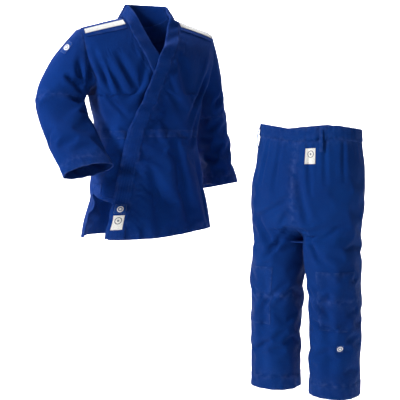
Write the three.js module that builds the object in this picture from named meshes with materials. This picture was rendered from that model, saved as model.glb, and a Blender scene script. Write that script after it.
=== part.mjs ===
// A two-piece martial arts uniform: a wrap-over jacket and a pair of drawstring trousers,
// both filled out as if worn and shown side by side. Millimetres, +Z up. The origin is at the
// middle of the jacket's collar, where a hanger or a bust form would hold it.
// Every cloth piece is a closed thin solid: a panel of one garment surface, given a thickness.
import * as THREE from 'three';

// Cloth
const clothThickness = 3;
const bandThickness = 8;
const seamGap = 0.5;
const layerGap = 1.2;
const wrapGap = 2.4;
const yokeGap = 1.8;
const trimGap = 0.6;
const lapelGap = 1;
const armholeGap = 4.2;

// Jacket, measured down from the top of the collar
const jacketLength = 820;
const shoulderDrop = 53;
const shoulderSlope = 50;
const shoulderHalfWidth = 252;
const armholeBottom = 325;
const neckCrossing = 188;
const waistSeamTop = 445;
const waistSeamWidth = 27;
const ventTop = 665;
const hemHalfWidth = 228;
const hemHalfDepth = 142;
const waistHalfWidth = 183;
const waistHalfDepth = 120;
const chestHalfWidth = 207;
const chestHalfDepth = 122;
const jacketRoundness = 2.6;
const shoulderRoundness = 2.6;
const armholeShare = 0.93;
const lapelWidth = 54;
const neckFlare = 42;
const lapelWaistReach = 114;
const lapelHemReach = 195;
const neckHalfWidth = 68;
const neckHalfDepth = 66;
const backNeckDrop = 74;
const foldHemReach = 150;
const cuffBand = 30;
const jacketYaw = 27;

// Trousers, measured up from the hem
const trouserHeight = 912;
const waistbandWidth = 44;
const crotchHeight = 509;
const kneeHeight = 330;
const kneePatchReach = 100;
const trouserHem = 46;
const waistBandHalfWidth = 188;
const waistBandHalfDepth = 113;
const hipHalfWidth = 203;
const hipHalfDepth = 124;
const thighHalfWidth = 94;
const thighHalfDepth = 95;
const shinHalfWidth = 83;
const shinHalfDepth = 82;
const legSpacing = 113;
const legGap = 3;
const trouserRoundness = 2.3;
const trouserYaw = -32;
const trouserOffset = new THREE.Vector3(558, -150, -1343);

const FRONT = -1;
const BACK = 1;
const RIGHT = -1;
const LEFT = 1;

const jacketCloth = { color: 0x0b3a86, roughness: 0.92, metalness: 0 };
const trouserCloth = { color: 0x123f86, roughness: 0.92, metalness: 0 };
const whiteCloth = { color: 0xe4e6e4, roughness: 0.8, metalness: 0 };

const lerp = THREE.MathUtils.lerp;
const smoothstep = THREE.MathUtils.smoothstep;
const degrees = THREE.MathUtils.degToRad;

// Smooth curve through rows of values, one row for each station; the stations rise.
function smoothRows(stations, rows) {
  const width = rows[0].length;
  const curve = new THREE.CubicInterpolant(stations, rows.flat(), width, new Float64Array(width));
  return (at) => Array.from(curve.evaluate(at));
}

// The closed thin solid of one cloth panel. surface(a, b) gives its face: a runs counter-clockwise
// seen from above, b runs up. outset lifts the outside face, and the thickness lies inside it.
// A tube closes on itself, and level keeps its end rings flat.
function clothPanel(name, surface, grid, finish, shape = {}) {
  const { outset = 0, thickness = clothThickness, tube = false, level = false } = shape;
  const [columns, rows] = grid;
  const step = 1e-3;
  const outer = [];
  const inner = [];
  const clamp = THREE.MathUtils.clamp;
  for (let row = 0; row <= rows; row += 1) {
    for (let column = 0; column <= columns; column += 1) {
      const a = column / columns;
      const b = row / rows;
      const along = (shift) => (tube ? a + shift : clamp(a + shift, 0, 1));
      const across = surface(along(step), b).sub(surface(along(-step), b));
      const upward = surface(a, clamp(b + step, 0, 1)).sub(surface(a, clamp(b - step, 0, 1)));
      const normal = across.cross(upward);
      if (level) normal.z = 0;
      normal.normalize();
      const lift = typeof outset === 'function' ? outset(a, b) : outset;
      outer.push(surface(a, b).addScaledVector(normal, lift));
      inner.push(surface(a, b).addScaledVector(normal, lift - thickness));
    }
  }
  const corners = [...outer, ...inner].flatMap((point) => point.toArray());
  const faces = [];
  const at = (column, row) => row * (columns + 1) + (tube ? column % columns : column);
  const quad = (p, q, r, s) => faces.push(p, q, r, p, r, s);
  const under = outer.length;
  for (let row = 0; row < rows; row += 1) {
    for (let column = 0; column < columns; column += 1) {
      const ring = [at(column, row), at(column + 1, row), at(column + 1, row + 1), at(column, row + 1)];
      quad(ring[0], ring[1], ring[2], ring[3]);
      quad(under + ring[3], under + ring[2], under + ring[1], under + ring[0]);
    }
  }
  for (let column = 0; column < columns; column += 1) {
    const [left, right] = [at(column, 0), at(column + 1, 0)];
    const [leftTop, rightTop] = [at(column, rows), at(column + 1, rows)];
    quad(under + left, under + right, right, left);
    quad(leftTop, rightTop, under + rightTop, under + leftTop);
  }
  for (let row = 0; row < rows && !tube; row += 1) {
    const [low, high] = [at(0, row), at(0, row + 1)];
    const [lowEnd, highEnd] = [at(columns, row), at(columns, row + 1)];
    quad(under + low, low, high, under + high);
    quad(lowEnd, under + lowEnd, under + highEnd, highEnd);
  }
  const geometry = new THREE.BufferGeometry();
  geometry.setAttribute('position', new THREE.Float32BufferAttribute(corners, 3));
  geometry.setIndex(faces);
  const solid = new THREE.Mesh(geometry, new THREE.MeshStandardMaterial(finish));
  solid.name = name;
  return solid;
}

// Jacket body. rise is -1 at the hem, 0 at the bottom of the armholes and 1 on the shoulder line.
const riseAtDrop = (drop) => -(drop - armholeBottom) / (jacketLength - armholeBottom);
const bodyRows = smoothRows(
  [-1, riseAtDrop(ventTop), riseAtDrop(waistSeamTop), 0, 0.5, 1],
  [
    [hemHalfWidth, hemHalfDepth],
    [lerp(waistHalfWidth, hemHalfWidth, 0.5), lerp(waistHalfDepth, hemHalfDepth, 0.5)],
    [waistHalfWidth, waistHalfDepth],
    [chestHalfWidth, chestHalfDepth],
    [lerp(chestHalfWidth, shoulderHalfWidth / armholeShare, 0.72), chestHalfDepth],
    [shoulderHalfWidth / armholeShare, chestHalfDepth - 4],
  ],
);

function shoulderDropAt(x) {
  const beyondNeck = Math.max(Math.abs(x) - neckHalfWidth, 0);
  return shoulderDrop + (shoulderSlope * beyondNeck) / (shoulderHalfWidth - neckHalfWidth);
}

function dropAt(x, rise) {
  if (rise <= 0) return armholeBottom - rise * (jacketLength - armholeBottom);
  return lerp(armholeBottom, shoulderDropAt(x), rise);
}

function riseAt(x, drop) {
  if (drop >= armholeBottom) return riseAtDrop(drop);
  return Math.min((armholeBottom - drop) / (armholeBottom - shoulderDropAt(x)), 1);
}

// A point of the jacket body: share is x as a share of the half width at that height.
function bodyPoint(share, rise, side) {
  const [halfWidth, halfDepth] = bodyRows(rise);
  const x = share * halfWidth;
  const roundOff = rise > 0 ? (1 - rise ** shoulderRoundness) ** (1 / shoulderRoundness) : 1;
  const bulge = Math.max(1 - Math.abs(share) ** jacketRoundness, 0) ** (1 / jacketRoundness);
  return new THREE.Vector3(x, side * (halfDepth * bulge * roundOff + seamGap / 2), -dropAt(x, rise));
}

function frontPointAt(x, drop) {
  const rise = riseAt(x, drop);
  return bodyPoint(THREE.MathUtils.clamp(x / bodyRows(rise)[0], -1, 1), rise, FRONT);
}

// Share of the half width where a panel meets its side seam or its armhole.
function sideShare(rise) {
  if (rise <= 0) return 1;
  const opening = Math.max(1 - rise / 0.25, 0);
  return armholeShare + (1 - armholeShare) * opening ** 2;
}

// Even spacing around the rounded section, so that panels turn the side smoothly.
const turnOf = (share) => Math.asin(THREE.MathUtils.clamp(share, -1, 1));

// A front panel between two edges, each given as x for a drop below the collar.
function frontPanel(fromX, toX, topDrop, bottomDrop) {
  return (a, b) => {
    const drop = lerp(bottomDrop, topDrop, b);
    const halfWidth = bodyRows(riseAt(0, drop))[0];
    const turn = lerp(turnOf(fromX(drop) / halfWidth), turnOf(toX(drop) / halfWidth), a);
    return frontPointAt(halfWidth * Math.sin(turn), drop);
  };
}

const sideInset = seamGap / 2;
const sideEdge = (side) => (drop) => side * (bodyRows(riseAtDrop(drop))[0] - sideInset);

// Free edge of the left lapel below the neck crossing; the right lapel's is its mirror image.
function lapelEdge(drop) {
  const waist = (drop - neckCrossing) / (waistSeamTop - neckCrossing);
  if (waist <= 1) return -lapelWaistReach * waist;
  const skirt = (drop - waistSeamTop) / (jacketLength - waistSeamTop);
  return -lerp(lapelWaistReach, lapelHemReach, skirt);
}
const lapelSeam = (drop) => lapelEdge(drop) + lapelWidth;
const foldShare = (drop) => (drop - neckCrossing) / (jacketLength - neckCrossing);
const foldLine = (drop) => lerp(lapelWidth, foldHemReach, foldShare(drop));

// Seam of the neck band on the chest, from the crossing up to the shoulder ridge.
const ridgeDrop = shoulderDropAt(lapelWidth + neckFlare);
function neckSeam(drop) {
  const below = (drop - ridgeDrop) / (neckCrossing - ridgeDrop);
  return lapelWidth + neckFlare * (1 - below ** 2);
}

// The left front lies over the right one and its lapel, so it lifts away towards its free edge.
const wrapLift = bandThickness + wrapGap;
function liftAt(point) {
  const drop = -point.z;
  const under = drop > neckCrossing ? -lapelEdge(drop) : 0;
  const sideX = bodyRows(Math.min(riseAtDrop(drop), 0))[0];
  const faded = smoothstep(neckCrossing - drop, 0, neckCrossing - ridgeDrop - 20);
  const front = point.y < 0 ? 1 : 0;
  return wrapLift * front * (1 - smoothstep(point.x, under + 4, sideX - 2)) * (1 - faded);
}
function liftOf(surface) {
  return (a, b) => liftAt(surface(a, b));
}

const seamBottom = waistSeamTop + waistSeamWidth;
const right = (edge) => (drop) => -edge(drop);
const inward = (edge, gap) => (drop) => edge(drop) + gap;

function jacketFronts() {
  const pieces = [];
  const outer = (name, surface, grid, thickness = clothThickness) => {
    const lift = liftOf(surface);
    const outset = (a, b) => lift(a, b) + thickness - clothThickness;
    pieces.push(clothPanel(name, surface, grid, jacketCloth, { outset, thickness }));
  };
  const bands = [
    ['skirt', seamBottom + seamGap, jacketLength, 7],
    ['waist_seam', waistSeamTop, seamBottom, 1],
  ];
  for (const [part, top, bottom, rows] of bands) {
    const fold = inward(foldLine, sideInset);
    outer(`left_${part}_side`, frontPanel(fold, sideEdge(LEFT), top, bottom), [7, rows]);
    const seam = inward(lapelSeam, lapelGap);
    outer(`left_${part}_wrap`, frontPanel(seam, inward(foldLine, -sideInset), top, bottom), [8, rows]);
    const rightSeam = right(inward(lapelSeam, lapelGap));
    const under = frontPanel(sideEdge(RIGHT), rightSeam, top, bottom);
    pieces.push(clothPanel(`right_${part}`, under, [11, rows], jacketCloth));
  }
  const wedgeBottom = waistSeamTop - seamGap;
  const wedge = frontPanel(inward(lapelSeam, lapelGap), inward(foldLine, -sideInset), neckCrossing + 18, wedgeBottom);
  outer('left_chest_wrap', wedge, [4, 6]);
  // Half of a lapel's rows lie above the top of the waist seam, where its edge changes slope.
  const lapel = (fromX, toX) => (a, b) => {
    const above = frontPanel(fromX, toX, neckCrossing + lapelGap, waistSeamTop);
    const below = frontPanel(fromX, toX, waistSeamTop, jacketLength);
    return b < 0.5 ? below(a, 2 * b) : above(a, 2 * b - 1);
  };
  outer('left_lapel_lower', lapel(lapelEdge, lapelSeam), [3, 14], bandThickness);
  const rightLapel = lapel(right(lapelSeam), right(lapelEdge));
  const proud = { outset: bandThickness - clothThickness, thickness: bandThickness };
  pieces.push(clothPanel('right_lapel_lower', rightLapel, [3, 14], jacketCloth, proud));
  return pieces;
}

// Free edge of the neck band, from the neck crossing up to the side of the neck.
function neckFreeEdge(side) {
  const points = [
    frontPointAt(0, neckCrossing),
    frontPointAt(side * neckHalfWidth * 0.42, lerp(neckCrossing, shoulderDrop, 0.36)),
    new THREE.Vector3(side * neckHalfWidth * 0.92, -neckHalfDepth * 0.86, -neckCrossing * 0.26),
    new THREE.Vector3(side * neckHalfWidth, 0, -shoulderDrop * 0.2),
  ];
  return new THREE.CatmullRomCurve3(points, false, 'centripetal');
}

function neckBands() {
  const pieces = [];
  const proud = { outset: bandThickness - clothThickness, thickness: bandThickness };
  for (const [side, name] of [[RIGHT, 'right'], [LEFT, 'left']]) {
    const free = neckFreeEdge(side);
    const surface = (a, b) => {
      const up = b * (1 - lapelGap / neckHalfWidth);
      const drop = lerp(ridgeDrop, neckCrossing, (1 - up) ** 2);
      const seam = frontPointAt(side * neckSeam(drop), drop);
      return free.getPoint(up).lerp(seam, side === LEFT ? a : 1 - a);
    };
    const lifted = (a, b) => proud.outset + (side === LEFT ? liftAt(surface(a, b)) : 0);
    const shape = { outset: lifted, thickness: bandThickness };
    pieces.push(clothPanel(`${name}_lapel_upper`, surface, [3, 8], jacketCloth, shape));
  }
  const seamHalf = lapelWidth + neckFlare;
  const backFree = neckArc(neckHalfWidth, neckHalfDepth, shoulderDrop * 0.2, 2);
  const backSeam = neckArc(seamHalf, neckHalfDepth + 6, ridgeDrop, backNeckDrop);
  const collar = (a, b) => backSeam(a).lerp(backFree(a), b);
  pieces.push(clothPanel('collar_band', collar, [14, 3], jacketCloth, proud));
  return pieces;
}

// Half ring round the back of the neck, from the left side to the right.
function neckArc(halfWidth, halfDepth, sideDrop, backDrop) {
  return (a) => {
    const turn = Math.PI * a;
    const back = Math.sin(turn);
    return new THREE.Vector3(halfWidth * Math.cos(turn), halfDepth * back, -lerp(sideDrop, backDrop, back));
  };
}

// Chest panels reach from the waist seam over the front of the shoulder to its ridge.
const frontRows = (b) => lerp(riseAtDrop(waistSeamTop - seamGap), 1, 1 - (1 - b) ** 1.6);

function chestPanel(side) {
  return (a, b) => {
    const rise = frontRows(b);
    const halfWidth = bodyRows(rise)[0];
    const outer = turnOf(sideShare(rise) - sideInset / halfWidth);
    const inner = turnOf(chestInnerEdge(side, rise) / halfWidth);
    const turn = side === LEFT ? lerp(inner, outer, a) : -lerp(outer, inner, a);
    return bodyPoint(Math.sin(turn), rise, FRONT);
  };
}

// Where the chest panel starts beside the lapel: on its seam, or on the wrap's fold line.
function chestInnerEdge(side, rise) {
  const below = side === LEFT ? foldLine : lapelSeam;
  const gap = side === LEFT ? sideInset : lapelGap;
  const edge = (drop) => (drop > neckCrossing ? below(drop) + gap : neckSeam(drop) + lapelGap);
  let x = lapelWidth;
  for (let pass = 0; pass < 8; pass += 1) x = edge(Math.max(dropAt(x, rise), ridgeDrop));
  return x;
}

function jacketBack() {
  const pieces = [];
  const backAcross = (a, rise, from, to) => bodyPoint(Math.sin(lerp(turnOf(from), turnOf(to), a)), rise, BACK);
  const panel = (name, topDrop, bottomDrop, rows, proud = 0) => {
    const surface = (a, b) => {
      const rise = riseAtDrop(lerp(bottomDrop, topDrop, b));
      const edge = 1 - sideInset / bodyRows(rise)[0];
      return backAcross(a, rise, edge, -edge);
    };
    const shape = { outset: proud, thickness: clothThickness + proud };
    pieces.push(clothPanel(name, surface, [16, rows], jacketCloth, shape));
  };
  panel('back_tail', ventTop + seamGap, jacketLength, 4);
  panel('back_skirt', seamBottom + seamGap, ventTop, 4);
  panel('back_waist_seam', waistSeamTop, seamBottom, 1);
  const back = (a, b) => {
    const sideways = 1 - 2 * a;
    const nearNeck = 1 - smoothstep(Math.abs(sideways), 0.3, 0.46);
    const topRise = lerp(1, 0.9, nearNeck);
    const rise = Math.min(frontRows(b), topRise);
    const edge = sideShare(rise) - sideInset / bodyRows(rise)[0];
    return backAcross(a, rise, edge, -edge);
  };
  pieces.push(clothPanel('back_panel', back, [16, 9], jacketCloth));
  return pieces;
}

// A point over the shoulder: sweep runs from the front (-90 degrees) over the ridge to the back.
function shoulderPoint(x, sweep) {
  const rise = Math.cos(sweep) ** (2 / shoulderRoundness);
  const side = sweep < 0 ? FRONT : BACK;
  return bodyPoint(x / bodyRows(rise)[0], rise, side);
}

function shoulderCovers() {
  const pieces = [];
  const layer = (name, from, to, sweepReach, grid, finish, shape, side) => {
    const surface = (a, b) => {
      const sweep = degrees(sweepReach) * (side === LEFT ? 2 * a - 1 : 1 - 2 * a);
      return shoulderPoint(side * lerp(to, from, b), sweep);
    };
    const outset = (a, b) => shape.outset + (side === LEFT ? liftAt(surface(a, b)) : 0);
    pieces.push(clothPanel(name, surface, grid, finish, { ...shape, outset }));
  };
  for (const [side, name] of [[RIGHT, 'right'], [LEFT, 'left']]) {
    const inner = lapelWidth + neckFlare + 12;
    const yoke = { outset: clothThickness + yokeGap, thickness: clothThickness };
    layer(`${name}_shoulder_yoke`, inner, shoulderHalfWidth - 8, 46, [10, 5], jacketCloth, yoke, side);
    const tape = { outset: clothThickness + yokeGap + trimGap + 1.5, thickness: 1.5 };
    layer(`${name}_shoulder_tape`, inner + 2, shoulderHalfWidth - 10, 6, [2, 6], whiteCloth, tape, side);
  }
  return pieces;
}

// Sleeves: rings along the arm from the cuff (0) to the armhole (1).
const sleeveRows = {
  [RIGHT]: smoothRows([0, 0.27, 0.54, 0.78, 1], [
    [-294, -192, -574, 87, 34],
    [-312, -98, -462, 85, 46],
    [-318, -6, -348, 86, 58],
    [-290, 0, -268, 80, 66],
    [-262, 0, -214, 88, 68],
  ]),
  [LEFT]: smoothRows([0, 0.27, 0.54, 0.78, 1], [
    [310, 28, -655, 62, 86],
    [294, 48, -520, 58, 87],
    [274, 54, -385, 54, 86],
    [260, 24, -292, 44, 80],
    [256, 0, -214, 56, 68],
  ]),
};
const elbowStation = 0.54;
const armholeReach = 0.992;

function armholePoint(side, turn) {
  const rise = (1 + Math.cos(turn)) / 2;
  const face = Math.sin(turn) * side < 0 ? FRONT : BACK;
  const point = bodyPoint(side * sideShare(rise), rise, face);
  point.x += side * armholeGap;
  return point;
}

function sleevePoint(side, a, b) {
  const turn = 2 * Math.PI * a;
  const row = sleeveRows[side];
  const [x, y, z, outerHalf, faceHalf] = row(b);
  const ahead = new THREE.Vector3(...row(Math.min(b + 0.02, 1)));
  const along = ahead.sub(new THREE.Vector3(...row(Math.max(b - 0.02, 0)))).normalize();
  const face = new THREE.Vector3(0, side, 0);
  face.addScaledVector(along, -face.dot(along)).normalize();
  const outward = face.clone().cross(along);
  const ring = new THREE.Vector3(x, y, z);
  ring.addScaledVector(outward, outerHalf * Math.cos(turn));
  ring.addScaledVector(face, faceHalf * Math.sin(turn));
  return ring.lerp(armholePoint(side, turn), smoothstep(b, 0.72, 1) ** 1.5);
}

function sleeves() {
  const pieces = [];
  for (const [side, name] of [[RIGHT, 'right'], [LEFT, 'left']]) {
    const tube = (part, low, high, grid, shape = {}) => {
      const surface = (a, b) => sleevePoint(side, a, lerp(low, high, b));
      pieces.push(clothPanel(`${name}_${part}`, surface, grid, jacketCloth, { ...shape, tube: true }));
    };
    const cuffEnd = (cuffBand / 520);
    tube('upper_sleeve', elbowStation + 0.002, armholeReach, [16, 7]);
    tube('lower_sleeve', cuffEnd + 0.001, elbowStation - 0.001, [16, 5]);
    tube('cuff_hem', 0, cuffEnd, [16, 1], { outset: 1.5, thickness: clothThickness + 1.5 });
  }
  const badge = (a, b) => sleevePoint(RIGHT, lerp(0.02, 0.11, a), lerp(0.84, 0.9, b));
  pieces.push(clothPanel('sleeve_badge', badge, [3, 3], whiteCloth, { outset: 2 + trimGap, thickness: 2 }));
  return pieces;
}

// Labels on the left lapel, square to its edge.
function lapelTrim() {
  const patch = (name, topDrop, bottomDrop, inset, finish) => {
    const edge = (drop) => lapelEdge(drop) + inset;
    const farEdge = (drop) => lapelSeam(drop) - inset;
    const surface = frontPanel(edge, farEdge, topDrop, bottomDrop);
    const lift = liftOf(surface);
    const outset = (a, b) => lift(a, b) + bandThickness - clothThickness + trimGap + 1.5;
    return clothPanel(name, surface, [3, 3], finish, { outset, thickness: 1.5 });
  };
  return [
    patch('lapel_patch', 702, 732, 10, jacketCloth),
    patch('lapel_label', 738, 792, 5, whiteCloth),
  ];
}

function ventPatches() {
  return [[RIGHT, 'right'], [LEFT, 'left']].map(([side, name]) => {
    const surface = (a, b) => {
      const rise = riseAtDrop(lerp(ventTop, ventTop - 40, b));
      const near = 0.982 - 0.05 * (1 - b);
      const far = 0.86;
      const share = side === LEFT ? lerp(far, near, a) : -lerp(near, far, a);
      return bodyPoint(share, rise, FRONT);
    };
    const outset = (a, b) => 2.5 + layerGap + (side === LEFT ? liftAt(surface(a, b)) : 0);
    return clothPanel(`${name}_vent_patch`, surface, [3, 2], jacketCloth, { outset, thickness: 2.5 });
  });
}

// Trousers. One closed surface down to the crotch, then a tube for each leg.
const hipRows = smoothRows([crotchHeight, lerp(crotchHeight, trouserHeight, 0.5), trouserHeight], [
  [legSpacing - 14 + thighHalfWidth, thighHalfDepth],
  [hipHalfWidth, hipHalfDepth],
  [waistBandHalfWidth, waistBandHalfDepth],
]);

function roundPoint(turn, halfWidth, halfDepth, roundness) {
  const power = (value) => Math.sign(value) * Math.abs(value) ** (2 / roundness);
  return new THREE.Vector2(halfWidth * power(Math.cos(turn)), halfDepth * power(Math.sin(turn)));
}

function hipPoint(turn, height) {
  const [halfWidth, halfDepth] = hipRows(height);
  const point = roundPoint(turn, halfWidth, halfDepth, trouserRoundness);
  return new THREE.Vector3(point.x, point.y, height);
}

const legRows = smoothRows([0, kneeHeight, crotchHeight + 1], [
  [legSpacing, shinHalfWidth, shinHalfDepth],
  [legSpacing - 4, lerp(shinHalfWidth, thighHalfWidth, 0.4), lerp(shinHalfDepth, thighHalfDepth, 0.4)],
  [legGap + thighHalfWidth, thighHalfWidth, thighHalfDepth],
]);

function legPoint(side, turn, height) {
  const [centre, halfWidth, halfDepth] = legRows(height);
  const point = roundPoint(turn, halfWidth, halfDepth, trouserRoundness);
  return new THREE.Vector3(side * centre + point.x, point.y, height);
}

function trousers() {
  const pieces = [];
  const turnAt = (a) => 2 * Math.PI * (a - 0.25);
  const add = (name, surface, grid, finish, shape) => pieces.push(clothPanel(name, surface, grid, finish, shape));
  const bandBottom = trouserHeight - waistbandWidth;
  const band = (a, b) => hipPoint(turnAt(a), lerp(bandBottom + seamGap, trouserHeight, b));
  add('waistband', band, [24, 1], trouserCloth, { outset: 2, thickness: clothThickness + 2, tube: true, level: true });
  const cordInset = -(clothThickness + trimGap);
  const cord = (a, b) => hipPoint(turnAt(a), lerp(bandBottom + 16, bandBottom + 24, b));
  add('waist_drawcord', cord, [24, 1], whiteCloth, { outset: cordInset, thickness: 3, tube: true, level: true });
  for (const [side, name] of [[RIGHT, 'right'], [LEFT, 'left']]) {
    const start = side === LEFT ? -90 : 90;
    const edge = sideInset / hipHalfDepth;
    const hip = (a, b) => {
      const turn = degrees(start) + lerp(edge, Math.PI - edge, a);
      return hipPoint(turn, lerp(crotchHeight + seamGap, bandBottom, b));
    };
    add(`${name}_hip_panel`, hip, [14, 6], trouserCloth, { level: true });
    const leg = (low, high) => (a, b) => legPoint(side, turnAt(a), lerp(low, high, b));
    add(`${name}_thigh`, leg(kneeHeight + seamGap, crotchHeight), [16, 4], trouserCloth, { tube: true, level: true });
    add(`${name}_shin`, leg(trouserHem + seamGap, kneeHeight), [16, 5], trouserCloth, { tube: true, level: true });
    const hem = { outset: 1.5, thickness: clothThickness + 1.5, tube: true, level: true };
    add(`${name}_trouser_hem`, leg(0, trouserHem), [16, 1], trouserCloth, hem);
    const kneeSpan = (b) => lerp(kneeHeight - kneePatchReach, kneeHeight + kneePatchReach, b);
    const knee = (a, b) => legPoint(side, lerp(degrees(-150), degrees(-30), a), kneeSpan(b));
    add(`${name}_knee_patch`, knee, [10, 3], trouserCloth, { outset: 2 + layerGap, thickness: 2 });
    const loopTurn = degrees(side === LEFT ? -62 : -150);
    const loop = beltLoop(`${name}_belt_loop`, loopTurn, bandBottom);
    pieces.push(loop);
  }
  const gusset = (a, b) => new THREE.Vector3(lerp(-40, 40, a), lerp(-70, 70, b), crotchHeight + clothThickness + trimGap);
  add('crotch_gusset', gusset, [3, 6], trouserCloth);
  const label = (a, b) => hipPoint(degrees(lerp(-84, -66, a)), lerp(bandBottom - 62, bandBottom - 8, b));
  add('waist_label', label, [3, 2], whiteCloth, { outset: 1.5 + trimGap, thickness: 1.5 });
  const badge = (a, b) => legPoint(LEFT, degrees(lerp(-66, -46, a)), lerp(158, 188, b));
  add('shin_badge', badge, [2, 2], whiteCloth, { outset: 1.5 + trimGap, thickness: 1.5 });
  return pieces;
}

// A strap that stands off the waistband, so that a belt or cord passes behind it.
function beltLoop(name, turn, bandBottom) {
  const strap = 14;
  const standOff = 9;
  const thickness = 2.5;
  const reach = (level) => 2 + trimGap + thickness + standOff * Math.sin(Math.PI * level);
  const half = strap / 2 / waistBandHalfWidth;
  const surface = (a, b) => hipPoint(turn + lerp(-half, half, a), lerp(bandBottom - 14, trouserHeight - 6, b));
  return clothPanel(name, surface, [2, 8], trouserCloth, { outset: (a, b) => reach(b), thickness });
}

const jacket = new THREE.Group();
jacket.rotation.z = degrees(jacketYaw);
for (const make of [jacketFronts, neckBands, jacketBack, shoulderCovers, sleeves, lapelTrim, ventPatches]) {
  jacket.add(...make());
}
for (const [side, name] of [[RIGHT, 'right'], [LEFT, 'left']]) {
  const surface = chestPanel(side);
  const outset = side === LEFT ? liftOf(surface) : 0;
  jacket.add(clothPanel(`${name}_chest_panel`, surface, [9, 10], jacketCloth, { outset }));
}

const trouserSet = new THREE.Group();
trouserSet.rotation.z = degrees(trouserYaw);
trouserSet.position.copy(trouserOffset);
trouserSet.add(...trousers());

const uniform = new THREE.Group();
uniform.add(jacket, trouserSet);

export default uniform;
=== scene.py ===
import math

import bpy
import numpy as np
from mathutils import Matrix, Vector


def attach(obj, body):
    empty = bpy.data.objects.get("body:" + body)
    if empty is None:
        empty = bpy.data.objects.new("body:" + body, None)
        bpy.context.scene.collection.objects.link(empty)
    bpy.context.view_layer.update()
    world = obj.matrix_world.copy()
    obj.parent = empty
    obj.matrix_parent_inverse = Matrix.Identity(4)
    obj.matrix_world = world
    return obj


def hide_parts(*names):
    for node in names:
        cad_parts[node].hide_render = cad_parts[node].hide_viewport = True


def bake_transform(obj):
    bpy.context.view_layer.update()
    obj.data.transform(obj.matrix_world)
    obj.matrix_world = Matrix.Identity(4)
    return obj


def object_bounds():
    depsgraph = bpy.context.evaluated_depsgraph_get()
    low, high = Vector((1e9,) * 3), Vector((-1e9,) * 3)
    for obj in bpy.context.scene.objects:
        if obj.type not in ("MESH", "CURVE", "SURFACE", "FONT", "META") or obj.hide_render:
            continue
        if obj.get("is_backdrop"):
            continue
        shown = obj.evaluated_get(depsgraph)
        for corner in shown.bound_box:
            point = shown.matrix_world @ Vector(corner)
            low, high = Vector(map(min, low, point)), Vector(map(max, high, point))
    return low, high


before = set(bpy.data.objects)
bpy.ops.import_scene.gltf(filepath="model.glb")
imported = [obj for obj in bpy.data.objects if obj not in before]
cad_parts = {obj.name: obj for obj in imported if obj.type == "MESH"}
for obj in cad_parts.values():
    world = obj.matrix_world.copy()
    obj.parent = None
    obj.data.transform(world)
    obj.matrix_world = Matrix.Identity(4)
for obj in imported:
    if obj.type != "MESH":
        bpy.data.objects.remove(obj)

cad_low, cad_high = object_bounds()


# Studio. A pale paper sweep under and behind the two garments, and large soft lamps in front of
# them. The camera stands square in front, a little above the middle of the pair.
def studio_camera():
    camera_data = bpy.data.cameras.new("studio_camera")
    camera_data.lens = 86.2
    camera_data.sensor_width = 36
    camera_data.clip_end = 30
    camera = bpy.data.objects.new("studio_camera", camera_data)
    camera.location = (0.192, -3.43, -0.400)
    camera.rotation_euler = (math.radians(90 - 5), 0, 0)
    bpy.context.scene.collection.objects.link(camera)
    bpy.context.scene.camera = camera
    bpy.context.scene.view_settings.view_transform = "Standard"


def paper_sweep():
    floor_height = cad_low.z - 0.35
    steps = 24
    profile = [(-6, floor_height), (4.6, floor_height)]
    for step in range(1, steps + 1):
        turn = math.pi / 2 * step / steps
        profile.append((4.6 + 0.8 * math.sin(turn), floor_height + 0.8 * (1 - math.cos(turn))))
    profile.append((5.4, 4.0))
    points = [(x, y, z) for y, z in profile for x in (-7, 7)]
    faces = [(2 * i, 2 * i + 1, 2 * i + 3, 2 * i + 2) for i in range(len(profile) - 1)]
    mesh = bpy.data.meshes.new("paper_sweep")
    mesh.from_pydata(points, [], faces)
    mesh.polygons.foreach_set("use_smooth", [True] * len(faces))
    paper = bpy.data.materials.new("white_paper")
    paper.use_nodes = True
    shader = paper.node_tree.nodes["Principled BSDF"]
    shader.inputs["Base Color"].default_value = (0.93, 0.93, 0.94, 1)
    shader.inputs["Roughness"].default_value = 0.9
    mesh.materials.append(paper)
    sweep = bpy.data.objects.new("paper_sweep", mesh)
    bpy.context.scene.collection.objects.link(sweep)
    sweep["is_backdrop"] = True


def soft_lamp(name, place, aim, size, power):
    lamp_data = bpy.data.lights.new(name, "AREA")
    lamp_data.shape = "RECTANGLE"
    lamp_data.size, lamp_data.size_y = size
    lamp_data.energy = power
    lamp = bpy.data.objects.new(name, lamp_data)
    lamp.location = place
    lamp.rotation_mode = "QUATERNION"
    lamp.rotation_quaternion = (Vector(aim) - Vector(place)).to_track_quat("-Z", "Y")
    bpy.context.scene.collection.objects.link(lamp)


studio_camera()
paper_sweep()
soft_lamp("key_lamp", (-2.9, -2.3, 1.7), (0.15, 0, -0.6), (0.7, 0.7), 225)
soft_lamp("fill_lamp", (2.4, -3.0, 0.6), (0.2, 0, -0.8), (1.4, 1.8), 10)
soft_lamp("floor_lamp", (0.2, 1.8, 3.4), (0.2, 3.4, -1.4), (5, 1.6), 420)
soft_lamp("paper_lamp", (0.2, 2.9, 2.2), (0.2, 5.4, -0.2), (6, 1.4), 520)
world = bpy.data.worlds.new("studio_air")
world.use_nodes = True
world.node_tree.nodes["Background"].inputs["Color"].default_value = (1, 1, 1, 1)
world.node_tree.nodes["Background"].inputs["Strength"].default_value = 0.17
bpy.context.scene.world = world


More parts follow.
